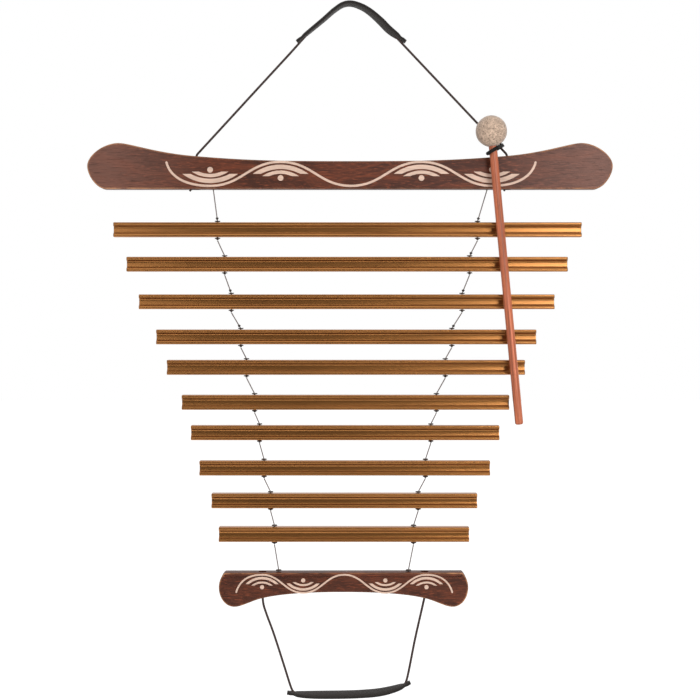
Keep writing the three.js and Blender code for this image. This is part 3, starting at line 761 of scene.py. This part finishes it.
def head_holes(x, z, thick, thin):
    """Holes for the hanger cord with counterbores below, and for the ladder cords with counterbores above."""
    holes = []
    for side in SIDES:
        hanger, ladder = x + HANGER_HOLES[side], x + LADDER_HOLES[side]
        top = z + edge_height(HEAD_ANCHORS, LADDER_HOLES[side])
        holes += [
            (hanger, z - MM, z + COUNTERBORE_DEPTH, COUNTERBORE_RADIUS),
            (hanger, z + MM, z + PAST_EVERY_EDGE, thick),
            (ladder, top - COUNTERBORE_DEPTH, z + PAST_EVERY_EDGE, COUNTERBORE_RADIUS),
            (ladder, z - MM, top - MM, thin),
        ]
    return holes


def lower_holes(x, z, thick, thin):
    """Counterbored holes for the hand loop's cord, and blind sockets for the ladder cords."""
    holes = []
    for side in SIDES:
        handle, socket = x + HANDLE_HOLES[side], x + SOCKETS[side]
        holes += [
            (handle, z - COUNTERBORE_DEPTH, z + MM, COUNTERBORE_RADIUS),
            (handle, z - PAST_EVERY_EDGE, z - MM, thick),
            (socket, z - SOCKET_DEPTH, z + MM, thin),
        ]
    return holes


def printed(strip, front):
    """Gives a flat strip of two columns a thin body that stands a little proud of the board's front."""
    proud = strip + (0, front - PRINT_PROUD, 0)
    sunk = strip + (0, front + PRINT_SUNK, 0)
    return np.stack([proud[:, 1], proud[:, 0], sunk[:, 0], sunk[:, 1]], axis=1)


def ribbon(path, width, front):
    """A flat printed line: a thin strip along a path, with ends rounded as half circles."""
    walked = lengths_along(path)
    from_end = np.minimum(walked, walked[-1] - walked)
    reach = np.clip(from_end / (width / 2), 0, 1)
    half = width / 2 * np.sqrt(np.clip(1 - (1 - reach) ** 2, 0.02, 1))
    edges = [np.stack([side * half, 0 * half], axis=1) for side in (1, -1)]
    return printed(sweep(path, np.stack(edges, axis=1)), front)


def arc_strip(x, arc, turn_over, middle, front):
    """A ripple: the band between two circles about one centre, cut off level at its ends."""
    outer, inner, centre, cut = (value * MM for value in arc)
    bands = []
    for radius in (outer, inner):
        reach = math.acos((centre - cut) / radius)
        angle = np.linspace(-reach, reach, 40)
        across, down = radius * np.sin(angle), radius * np.cos(angle)
        bands.append(np.stack([x + across, 0 * angle, centre - down], axis=1))
    strip = np.stack(bands, axis=1)
    if turn_over:
        strip[..., 2] = 2 * middle - strip[..., 2]
    return printed(strip, front)


def wave_line(turns, end_x, end_z):
    """The wave: cubic stretches from turn to turn, and a longer one that rises to each end."""
    (first_x, outer), second_x = turns[0], turns[1][0]
    handle = 0.45 * (second_x - first_x)
    swing = 0.58 * (end_z - outer)
    reach = 0.6 * (end_x + first_x)
    end_lean = 3 * MM
    stretches = [bezier((-end_x, end_z), (-end_x + end_lean, end_z - swing), (first_x - reach, outer),
                        (first_x, outer), 30)]
    for (x0, z0), (x1, z1) in zip(turns, turns[1:]):
        stretches.append(bezier((x0, z0), (x0 + handle, z0), (x1 - handle, z1), (x1, z1), 40)[1:])
    stretches.append(bezier((-first_x, outer), (reach - first_x, outer), (end_x - end_lean, end_z - swing),
                            (end_x, end_z), 30)[1:])
    return evenly(on_plane(np.concatenate(stretches) / MM), 0.7 * MM)


def ornament_parts(ornament, front):
    """The wave with rounded turns, and a dot and two ripples in each turn that isn't left bare."""
    pitch, low, high = (ornament[key] * MM for key in ("pitch", "low", "high"))
    even, odd = (low, high) if ornament["first"] == "low" else (high, low)
    turns = [(number * pitch, odd if number % 2 else even) for number in TURNS]
    path = wave_line(turns, *(value * MM for value in ornament["end"]))
    parts = [(ribbon(path, ornament["line"] * MM, front), 0)]
    middle = (low + high) / 2
    radius, height = (value * MM for value in ornament["dot"])
    for number, (x, z) in zip(TURNS, turns):
        if number == BARE_TURN:
            continue
        turn_over = z == high
        dot_z = 2 * middle - height if turn_over else height
        dot = turned([(radius, -PRINT_PROUD), (radius, PRINT_SUNK)], (x, front, dot_z), 40, (0, 1, 0))
        parts.append((dot, 0))
        parts += [(arc_strip(x, arc, turn_over, middle, front), 0) for arc in ornament["arcs"]]
    return parts


class CHIME_OT_boards(bpy.types.Operator):
    """Adds the two planks with their holes and printed ornaments"""

    bl_idname = "chime.boards"
    bl_label = "Boards"

    def execute(self, context):
        sizes = context.scene.chime_sizes
        wood = [material(context, "board_wood")]
        ink = [material(context, "printed_line")]
        thick, thin = sizes.thick_cord / 2 + ROOM_ROUND_CORD, sizes.thin_cord / 2 + ROOM_ROUND_CORD
        for name, anchors, ornament, holes in (
            ("head_board", HEAD_ANCHORS, HEAD_ORNAMENT, head_holes),
            ("lower_board", LOWER_ANCHORS, LOWER_ORNAMENT, lower_holes),
        ):
            low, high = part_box(name)
            x, z = middle_of(name), low.z if name == "head_board" else high.z
            grid, wear = board_grid(anchors, high.y - low.y, sizes.board_edge)
            plank = piece(f"{name}_plank", [(grid + (x, 0, z), 0)], wood, name, [name], 50,
                          {"wear": wear})
            carve(plank, holes(x, z, thick, thin))
            move = (x + ornament["right"] * MM, 0, z)
            prints = [(grid + move, index) for grid, index in ornament_parts(ornament, low.y)]
            piece(f"{name}_ornament", prints, ink, name)
        return {"FINISHED"}


# Bars

def bar_section(sizes, height, depth):
    """The front half of the bar's section from top to bottom: a round corner, a lip, the trough, and back.

    The lip's outer corner is an arc of 120 degrees that runs into a slope of 30 degrees towards the trough,
    and the slope's inner edge is a parabola. The trough is half a superellipse with the exponent 3.
    """
    corner, deep, half = sizes.bar_corner, sizes.trough_depth, sizes.trough_height / 2
    turn = np.radians(np.linspace(90, 90 - CORNER_ARC, 13))
    outer_z = height / 2 - corner * (1 - np.sin(turn))
    outer_y = depth / 2 - corner * (1 - np.cos(turn))
    slant = np.radians(np.linspace(14, 90, 22))
    trough_z = half * np.cos(slant) ** (2 / TROUGH_EXPONENT)
    trough_y = depth / 2 - deep * np.sin(slant) ** (2 / TROUGH_EXPONENT)
    slope_z = half + LIP_EDGE[0]
    slope_y = outer_y[-1] - (outer_z[-1] - slope_z) * math.tan(math.radians(LIP_SLOPE))
    edge = np.array([(slope_z, slope_y), (half, slope_y - LIP_EDGE[1]), (trough_z[0], trough_y[0])])
    share = np.linspace(0, 1, 7)[:, None]
    bend = (1 - share) ** 2 * edge[0] + 2 * share * (1 - share) * edge[1] + share ** 2 * edge[2]
    z = np.concatenate([outer_z, bend[:-1, 0], trough_z])
    y = np.concatenate([outer_y, bend[:-1, 1], trough_y])
    return np.concatenate([y, y[-2::-1]]), np.concatenate([z, -z[-2::-1]])


def bar_grid(sizes, low, high):
    """A bar's surface: its section carried along X, with the edges of both ends drawn in a little."""
    height, depth = high.z - low.z, high.y - low.y
    y, z = bar_section(sizes, height, depth)
    loop = np.concatenate([np.stack([y, z], 1), np.stack([-y, z], 1)[::-1]])
    inside = loop * (1 - BAR_CHAMFER / (depth / 2), 1 - BAR_CHAMFER / (height / 2))
    near_end = np.array([0, BAR_CHAMFER, RING_AFTER_CHAMFER])
    body = np.linspace(low.x + FIRST_BODY_RING, high.x - FIRST_BODY_RING, 30)
    x = np.concatenate([low.x + near_end, body, high.x - near_end[::-1]])
    sections = np.stack([inside] + [loop] * (len(x) - 2) + [inside])
    spots = np.broadcast_to(x[:, None, None], (*sections.shape[:2], 1))
    return np.concatenate([spots, sections[..., :1], sections[..., 1:] + (low.z + high.z) / 2], axis=-1)


class CHIME_OT_bars(bpy.types.Operator):
    """Adds the ten sounding bars"""

    bl_idname = "chime.bars"
    bl_label = "Bars"

    def execute(self, context):
        metal = [material(context, "satin_extrusion")]
        for name in BAR_NAMES:
            grid = bar_grid(context.scene.chime_sizes, *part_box(name))
            piece(f"{name}_extrusion", [(grid, 0)], metal, name, [name], 60)
        return {"FINISHED"}


# Ladder cords

def washer(sizes, x, face, side):
    """A dished washer with its hollow side away from the bar: it rises by the square of the distance out."""
    radius, hole = sizes.washer / 2, sizes.thin_cord * 0.4
    out = np.linspace(hole, radius, 8)
    lower = WASHER_GAP + WASHER_DISH * (out / radius) ** 2
    profile = np.concatenate([
        np.stack([out, lower], 1),
        [(radius + WASHER_BULGE, lower[-1] + WASHER_THICKNESS / 2)],
        np.stack([out, lower + WASHER_THICKNESS], 1)[::-1],
    ])
    return turned(profile * (1, side), (x, 0, face), 28)


def bar_holes(name):
    """Where the cords pass through a bar, left and right."""
    low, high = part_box(name)
    offset = (high.x - low.x) * (0.5 - STILL_POINT_SHARE)
    return {"left": middle_of(name) - offset, "right": middle_of(name) + offset}


def ladder_stretch(sizes, top_x, top_z, x, top, bottom, has_upper_knot=False, has_lower_set=True):
    """One stretch of cord with its washers and knots: it slants down to a face and goes straight on."""
    start, mouth = np.array([(top_x, 0, top_z - CORD_GAP), (x, 0, top + WASHER_RISE)])
    towards = (start - mouth) / np.linalg.norm(start - mouth)
    bend = bezier(mouth + towards * 3 * MM, mouth, mouth, (x, 0, top), 8)
    cord = tube(np.concatenate([[start], bend, [(x, 0, bottom)]]), sizes.thin_cord, THIN_SIDES, THIN_STEP)
    parts = [(cord, 0), (washer(sizes, x, top, 1), 1)]
    if has_upper_knot:
        parts.append((knot(mouth + towards * UP_THE_SLANT, *UPPER_KNOT), 2))
    if has_lower_set:
        parts.append((washer(sizes, x, bottom + WASHER_RISE, -1), 1))
        parts.append((knot((x, 0, bottom - MM), *LOWER_KNOT), 2))
    return parts


class CHIME_OT_ladder(bpy.types.Operator):
    """Adds the two thin cords that carry the bars, with their washers and knots"""

    bl_idname = "chime.ladder"
    bl_label = "Ladder cords"

    def execute(self, context):
        sizes = context.scene.chime_sizes
        # The third look is the thin braid darkened as painted shade on the knots
        looks = [material(context, name) for name in ("thin_braid", "dark_washer", "shaded_knot_braid")]
        head_x, head_z = middle_of("head_board"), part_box("head_board")[0].z
        tops = {side: head_x + LADDER_HOLES[side] for side in SIDES}
        bend = head_z
        for number, name in enumerate(BAR_NAMES, 1):
            low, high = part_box(name)
            holes = bar_holes(name)
            for side in SIDES:
                parts = ladder_stretch(sizes, tops[side], bend, holes[side], high.z, low.z - WASHER_RISE,
                                       number in UPPER_KNOTS[side])
                piece(f"stretch_{side}_{number:02d}", parts, looks, name,
                      [f"ladder_cord_{side}_{number:02d}"])
            tops = holes
            bend = low.z - UNDER_A_BAR
        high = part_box("lower_board")[1]
        for side in SIDES:
            parts = ladder_stretch(sizes, tops[side], bend, middle_of("lower_board") + SOCKETS[side], high.z,
                                   high.z - SOCKET_DEPTH + CORD_GAP, has_lower_set=False)
            piece(f"stretch_{side}_11", parts, looks[:2], "lower_board",
                  [f"ladder_cord_{side}_11"])
            x = head_x + LADDER_HOLES[side]
            seat = head_z + edge_height(HEAD_ANCHORS, LADDER_HOLES[side]) - COUNTERBORE_DEPTH
            cord = tube([(x, 0, head_z), (x, 0, seat + LADDER_CUT_RISE)], sizes.thin_cord, THIN_SIDES, MM)
            lump = knot((x, 0, seat + LADDER_END_RISE), *LADDER_END_KNOT)
            piece(f"ladder_end_{side}", [(cord, 0), (lump, 0)], looks[:1], "head_board",
                  [f"ladder_knot_{side}"])
        return {"FINISHED"}


# Thick cords

def hand_loop_origin():
    """The lower board's middle, and the height of its lower edge at the hand loop's holes."""
    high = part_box("lower_board")[1]
    return middle_of("lower_board"), high.z + edge_height(LOWER_ANCHORS, HANDLE_HOLES["left"])


def thick_end(sizes, x, from_z, to_z, knot_z, knot_size):
    """A straight end of a thick cord inside a board, and the knot that holds it there."""
    inside = tube([(x, 0, from_z), (x, 0, to_z)], sizes.thick_cord, THICK_SIDES, THICK_STEP)
    return [(inside, 0), (knot((x, 0, knot_z), *knot_size), 0)]


class CHIME_OT_hanger(bpy.types.Operator):
    """Adds the cord that carries the head board, and its knots under the board"""

    bl_idname = "chime.hanger"
    bl_label = "Hanger cord"

    def execute(self, context):
        sizes = context.scene.chime_sizes
        braid = [material(context, "thick_braid")]
        path = smooth_path(on_plane(HANGER_ROUTE), THICK_STEP)
        tube_grid = sweep(path, circle(sizes.thick_cord / 2, THICK_SIDES))
        cord = piece("hanger_cord_braid", [(tube_grid, 0)], braid, "hanger", ["hanger_cord"])
        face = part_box("head_board")[0].z
        for side in SIDES:
            x = middle_of("head_board") + HANGER_HOLES[side]
            top = face + edge_height(HEAD_ANCHORS, HANGER_HOLES[side])
            knot_z = face + HANGER_KNOT_RISE
            parts = thick_end(sizes, x, top - 0.5 * MM, knot_z, knot_z, HANGER_KNOT)
            tail = smooth_path(on_plane(HANGER_TAILS[side], x, face), 0.6 * MM)
            parts.append((sweep(tail, circle(TAIL_RADIUS, 12)), 0))
            piece(f"hanger_end_{side}", parts, braid, "head_board", [f"hanger_knot_{side}"])
        return {"FINISHED"}


class CHIME_OT_hand_loop(bpy.types.Operator):
    """Adds the cord of the hand loop and its knots in the lower board"""

    bl_idname = "chime.hand_loop"
    bl_label = "Hand loop"

    def execute(self, context):
        sizes = context.scene.chime_sizes
        braid = [material(context, "thick_braid")]
        middle, bend = hand_loop_origin()
        path = smooth_path(on_plane(HANDLE_ROUTE, middle, bend), THICK_STEP)
        tube_grid = sweep(path, circle(sizes.thick_cord / 2, THICK_SIDES))
        cord = piece("handle_cord_braid", [(tube_grid, 0)], braid, "hand_loop", ["handle_cord"])
        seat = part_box("lower_board")[1].z - COUNTERBORE_DEPTH
        for side in SIDES:
            x = middle + HANDLE_HOLES[side]
            parts = thick_end(sizes, x, bend + 0.5 * MM, seat + 4 * MM, seat + HANDLE_KNOT_RISE, HANDLE_KNOT)
            piece(f"handle_end_{side}", parts, braid, "lower_board", [f"handle_knot_{side}"])
        return {"FINISHED"}


# Grips

def grip_grid(line, sizes, twist, x=0.0, z=0.0):
    """A flattened sleeve: an oval of half width w and half thickness t carried along the cord and twisted.

    Its fullness falls off as the fifth power towards both ends, and a bell curve pinches it where it is tied,
    7 mm from each end. The twist grows with the share of the way to the power 2.6. A sewn edge stands out
    where the oval is widest, and the oval's exponent of 2.6 makes its broad faces flatter than an ellipse's.
    Also gives the share of the sewn edge at every point, as the eighth power of the sine of the angle round
    the oval.
    """
    path = smooth_path(on_plane(line, x, z), 0.8 * MM)
    walked = lengths_along(path)
    share = walked / walked[-1]
    fullness = 1 - np.abs(2 * share - 1) ** 5
    from_end = np.minimum(walked, walked[-1] - walked)
    pinch = 1 - 0.25 * np.exp(-((from_end - GRIP_TIE) / GRIP_TIE_SPREAD) ** 2)
    width, thickness = (
        (end + (full - end) * fullness) / 2 * pinch
        for end, full in zip(GRIP_END, (sizes.grip_width, sizes.grip_thickness))
    )
    angle = angles_round(48)
    flat, broad = (np.sign(wave) * np.abs(wave) ** (2 / 2.6) for wave in (np.cos(angle), np.sin(angle)))
    first = thickness[:, None] * flat
    second = width[:, None] * broad * (1 + 0.04 * np.abs(np.sin(angle)) ** 30)
    turn = np.radians(twist[0] + (twist[1] - twist[0]) * share ** 2.6)[:, None] * fullness[:, None]
    section = np.stack([first * np.cos(turn) - second * np.sin(turn),
                        second * np.cos(turn) + first * np.sin(turn)], axis=-1)
    return sweep(path, section), np.tile(np.abs(np.sin(angle)) ** 8, len(path))


class CHIME_OT_grips(bpy.types.Operator):
    """Adds the padded sleeve on the hanger and the one on the hand loop"""

    bl_idname = "chime.grips"
    bl_label = "Grips"

    def execute(self, context):
        sizes = context.scene.chime_sizes
        cloth = [material(context, "grip_cloth")]
        upper = grip_grid(UPPER_GRIP_LINE, sizes, UPPER_TWIST)
        lower = grip_grid(LOWER_GRIP_LINE, sizes, LOWER_TWIST, *hand_loop_origin())
        for name, (grid, sewn), body in (
            ("hanger_grip", upper, "hanger"), ("handle_grip", lower, "hand_loop"),
        ):
            sleeve = piece(f"{name}_sleeve", [(grid, 0)], cloth, body, [name],
                           attributes={"sewn_edge": sewn})
        return {"FINISHED"}


# Mallet

def mallet_frame(sizes):
    """The ball's centre and the direction from it down the dowel."""
    low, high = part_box("mallet_ball")
    tilt = math.radians(sizes.mallet_tilt)
    centre = (middle_of("mallet_ball"), (low.y + high.y) / 2, high.z - sizes.ball / 2 * math.cos(tilt))
    return np.array(centre), np.array([math.sin(tilt), 0, -math.cos(tilt)])


class CHIME_OT_mallet(bpy.types.Operator):
    """Adds the mallet's ball and dowel"""

    bl_idname = "chime.mallet"
    bl_label = "Mallet"

    def execute(self, context):
        sizes = context.scene.chime_sizes
        centre, down = mallet_frame(sizes)
        radius, dowel, reach = sizes.ball / 2, sizes.dowel / 2, sizes.mallet_reach
        angle = np.radians(np.linspace(0.5, 179.5, 90))
        dented = radius * (1 + 0.004 * np.sin(7 * angle))
        ball = turned(np.stack([dented * np.sin(angle), -dented * np.cos(angle)], 1), centre, 96, -down)
        piece("mallet_cork_ball", [(ball, 0)], [material(context, "speckled_ball")], "mallet",
              ["mallet_ball"])
        bend = np.radians(np.linspace(0, 90, 8))
        tip = np.stack([dowel - DOWEL_ROUNDING * (1 - np.sin(bend)),
                        DOWEL_ROUNDING * (1 - np.cos(bend)) - reach], 1)
        shaft = np.stack([np.full(60, dowel), np.linspace(DOWEL_ROUNDING - reach, -radius * 0.6, 60)], 1)
        profile = np.concatenate([[(0.3 * MM, -reach)], tip, shaft[1:]])
        wood = dowel_wood(context.scene.chime_colours, math.radians(sizes.mallet_tilt))
        piece("mallet_dowel", [(turned(profile, centre, 40, -down), 0)], [wood], "mallet",
              ["mallet_handle"])
        return {"FINISHED"}


def lace_parts(sizes):
    """The lace's loop round the dowel and the cord behind it, its tail across the front, and a round stub.

    Seen along the dowel, the loop follows a circle round the dowel, one round the cord, and the straight
    lines that touch both. The tail's end is rounded as half a circle.
    """
    centre, down = mallet_frame(sizes)
    slope = math.radians(sizes.lace_slope)
    ahead = np.array([math.cos(slope), 0, math.sin(slope)])
    behind = np.array([0, 1, 0])
    above = np.array([-math.sin(slope), 0, math.cos(slope)])
    neck = centre + down * (sizes.ball / 2 + LACE_UNDER_BALL)
    depth = -centre[1]
    heading = math.atan2(depth, LACE_RUN)
    opening = math.acos((LACE_NEAR - LACE_FAR) / math.hypot(LACE_RUN, depth))
    first = np.linspace(heading + opening, heading + 2 * math.pi - opening, 40)
    second = np.linspace(heading - opening, heading + opening, 24)
    loop = np.concatenate([
        LACE_NEAR * np.stack([np.cos(first), np.sin(first)], 1),
        LACE_FAR * np.stack([np.cos(second), np.sin(second)], 1) + (LACE_RUN, depth),
    ])
    loop = evenly(np.concatenate([loop, loop[:1]]), 0.8 * MM)
    tail = evenly(np.array([(reach * MM, -LACE_NEAR - LACE_TAIL_GAP) for reach in LACE_TAIL]), 0.5 * MM)
    ring_path, tail_path = (neck + flat[:, :1] * ahead + flat[:, 1:] * behind for flat in (loop, tail))
    thick, wide = LACE_BAND
    band = np.array([(-thick, -wide), (thick, -wide), (thick, wide), (-thick, wide)])
    walked = lengths_along(tail)
    from_end = np.clip((walked[-1] - walked) / (1.5 * MM), 0, 1)
    round_end = np.sqrt(np.clip(1 - (1 - from_end) ** 2, 0.05, 1))
    bands = band * np.stack([np.ones_like(round_end), round_end], 1)[:, None]
    stub = np.array(LACE_STUB) * MM @ np.stack([ahead, behind, above]) + neck
    return [(sweep(ring_path, band, above, closed=True), 0), (sweep(tail_path, bands, above), 0),
            (sweep(smooth_path(stub, 0.5 * MM), circle(LACE_STUB_RADIUS, 12)), 0)]


class CHIME_OT_lace(bpy.types.Operator):
    """Adds the flat lace that ties the mallet's neck to the hanger cord"""

    bl_idname = "chime.lace"
    bl_label = "Lace"

    def execute(self, context):
        piece("mallet_lace_tie", lace_parts(context.scene.chime_sizes), [material(context, "flat_lace")],
              "mallet", ["mallet_lace"])
        return {"FINISHED"}


# Stage

class CHIME_OT_stage(bpy.types.Operator):
    """Adds the floor, the lamps, the world and the camera"""

    bl_idname = "chime.stage"
    bl_label = "Stage"

    def execute(self, context):
        add_camera(context)
        add_floor()
        add_world(context)
        for lamp in LAMPS:
            add_lamp(*lamp)
        context.scene.view_settings.view_transform = "Standard"
        return {"FINISHED"}


def add_camera(context):
    """The photograph's view: straight along +Y, with the frame shifted down by 40 of its 700 pixels."""
    data = bpy.data.cameras.new("camera")
    data.sensor_width = 36
    data.lens = 64.8
    data.shift_y = -40 / 700
    camera = added("camera", data)
    camera.location = (0, -1.3685, -0.3304)
    camera.rotation_euler = (math.pi / 2, 0, 0)
    context.scene.camera = camera


def shown_directly(tree):
    """1 for rays that see the surroundings directly or mirrored, and 0 for light that falls on the object."""
    paths = node(tree, "ShaderNodeLightPath")
    seen = paths.outputs["Is Camera Ray"]
    for other in ("Is Glossy Ray", "Is Transmission Ray"):
        seen = arithmetic(tree, "MAXIMUM", seen, paths.outputs[other])
    return seen


def add_floor():
    """A wide pale floor well below the chime, brighter to the eye than the light that it gives."""
    half, front, height = 12, -0.35, -1.3
    mesh = bpy.data.meshes.new("floor")
    corners = [(-half, front, height), (half, front, height), (half, half, height), (-half, half, height)]
    mesh.from_pydata(corners, [], [(0, 1, 2, 3)])
    floor = added("floor", mesh)
    paint, tree = new_material(
        "pale_floor", Roughness=0.9, Specular_IOR_Level=0.0, Emission_Color=(1, 1, 1, 1))
    speckle = noise(tree, (9, 9, 9), 3, 0.5)
    fed(paint, ramp(tree, speckle, (0.3, (0.86, 0.86, 0.86)), (0.7, (0.9, 0.9, 0.9))))
    glow = ranged(tree, shown_directly(tree), 0, 1, 0.3, 0.72)
    tree.links.new(glow, tree.nodes["Principled BSDF"].inputs["Emission Strength"])
    mesh.materials.append(paint)


def add_world(context):
    """White to the camera; mirrored, white behind the chime and grey before it; and an even fill of light."""
    world = bpy.data.worlds.new("studio")
    world.use_nodes = True
    tree = world.node_tree
    direction = node(tree, "ShaderNodeTexCoord").outputs["Generated"]
    lean = {0: direction, 1: (0, 1, 0.12)}
    forwards = node(tree, "ShaderNodeVectorMath", lean, operation="DOT_PRODUCT").outputs["Value"]
    wall = ramp(tree, ranged(tree, forwards, -0.75, 0, 0, 1), (0.0, (0.14, 0.14, 0.14)), (1.0, (1, 1, 1)))
    to_camera = node(tree, "ShaderNodeLightPath").outputs["Is Camera Ray"]
    shown = mixed(tree, to_camera, wall, (1, 1, 1))
    seen = mixed(tree, shown_directly(tree), (0.46, 0.46, 0.46), shown)
    tree.links.new(seen, tree.nodes["Background"].inputs["Color"])
    context.scene.world = world


def add_lamp(name, place, size, power):
    """A soft rectangular lamp that looks at the middle of the chime."""
    data = bpy.data.lights.new(name, "AREA")
    data.shape = "RECTANGLE"
    data.size, data.size_y = size
    data.energy = power
    lamp = added(name, data)
    middle = (cad_low + cad_high) / 2
    lamp.location = place
    lamp.rotation_euler = (middle - lamp.location).to_track_quat("-Z", "Y").to_euler()
    lamp.visible_camera = False


# Settings and panel

def length(name, description, millimetres):
    """A length that a user can change, given in mm."""
    return FloatProperty(name=name, description=description, default=millimetres * MM, min=0, unit="LENGTH")


def colour(name, description, red, green, blue):
    """A colour that a user can change, given as sRGB from 0 to 255."""
    return FloatVectorProperty(name=name, description=description, default=linear(red, green, blue),
                               min=0, max=1, size=3, subtype="COLOR")


class ChimeSizes(bpy.types.PropertyGroup):
    """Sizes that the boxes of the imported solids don't give"""

    board_edge: length("Board edge", "Radius of the boards' rounded edges", 1.5)
    bar_corner: length("Bar corner", "Radius of the bars' outer corners", 1.6)
    trough_height: length("Trough height", "Height of the trough along a bar", 8.5)
    trough_depth: length("Trough depth", "Depth of the trough along a bar", 3.6)
    thick_cord: length("Thick cord", "Diameter of the hanger and hand loop cords", 2.5)
    thin_cord: length("Thin cord", "Diameter of the ladder cords", 1.2)
    washer: length("Washer", "Diameter of the washers on the ladder cords", 5.9)
    grip_width: length("Grip width", "Width of the padded sleeves", 13)
    grip_thickness: length("Grip thickness", "Thickness of the padded sleeves", 4.8)
    ball: length("Ball", "Diameter of the mallet's ball", 33.6)
    dowel: length("Dowel", "Diameter of the mallet's dowel", 8.8)
    mallet_reach: length("Mallet reach", "From the ball's centre to the dowel's end", 315.8)
    mallet_tilt: FloatProperty(name="Mallet tilt", description="Lean of the mallet in degrees", default=5.44)
    lace_slope: FloatProperty(name="Lace slope", description="Rise of the lace in degrees", default=32)


class ChimeColours(bpy.types.PropertyGroup):
    """Colours of the chime's finishes"""

    wood: colour("Wood", "Middle tone of the boards", 78, 38, 22)
    worn_edge: colour("Worn edge", "Bare wood along the boards' edges", 198, 140, 96)
    print: colour("Print", "Ornament on the boards", 212, 180, 160)
    metal: colour("Metal", "Anodised bars", 160, 106, 55)
    thick_cord: colour("Thick cord", "Hanger and hand loop cords", 60, 48, 45)
    thin_cord: colour("Thin cord", "Ladder cords", 118, 108, 105)
    washer: colour("Washer", "Washers on the ladder cords", 70, 60, 56)
    grip: colour("Grip", "Padded sleeves", 49, 44, 41)
    ball: colour("Ball", "Mallet's ball", 196, 170, 149)
    dowel: colour("Dowel", "Mallet's dowel", 178, 98, 66)
    lace: colour("Lace", "Mallet's lace", 19, 16, 15)


PIECE_OPERATORS = (
    CHIME_OT_stage, CHIME_OT_hanger, CHIME_OT_hand_loop, CHIME_OT_ladder, CHIME_OT_boards, CHIME_OT_bars,
    CHIME_OT_grips, CHIME_OT_mallet, CHIME_OT_lace,
)


class CHIME_PT_panel(bpy.types.Panel):
    """Lists the chime's pieces and settings in the sidebar"""

    bl_idname = "CHIME_PT_panel"
    bl_label = "Meditation chime"
    bl_space_type = "VIEW_3D"
    bl_region_type = "UI"
    bl_category = "Chime"

    def draw(self, context):
        for operator in PIECE_OPERATORS:
            self.layout.operator(operator.bl_idname)
        for settings in (context.scene.chime_sizes, context.scene.chime_colours):
            box = self.layout.box()
            for key in settings.__annotations__:
                box.prop(settings, key)


CLASSES = (ChimeSizes, ChimeColours, *PIECE_OPERATORS, CHIME_PT_panel)


def register():
    for each in CLASSES:
        bpy.utils.register_class(each)
    bpy.types.Scene.chime_sizes = PointerProperty(type=ChimeSizes)
    bpy.types.Scene.chime_colours = PointerProperty(type=ChimeColours)


def unregister():
    del bpy.types.Scene.chime_colours
    del bpy.types.Scene.chime_sizes
    for each in reversed(CLASSES):
        bpy.utils.unregister_class(each)


def main():
    """Builds every piece in order."""
    register()
    bpy.ops.chime.stage()
    bpy.ops.chime.hanger()
    bpy.ops.chime.hand_loop()
    bpy.ops.chime.ladder()
    bpy.ops.chime.boards()
    bpy.ops.chime.bars()
    bpy.ops.chime.grips()
    bpy.ops.chime.mallet()
    bpy.ops.chime.lace()


if __name__ == "__main__":
    main()
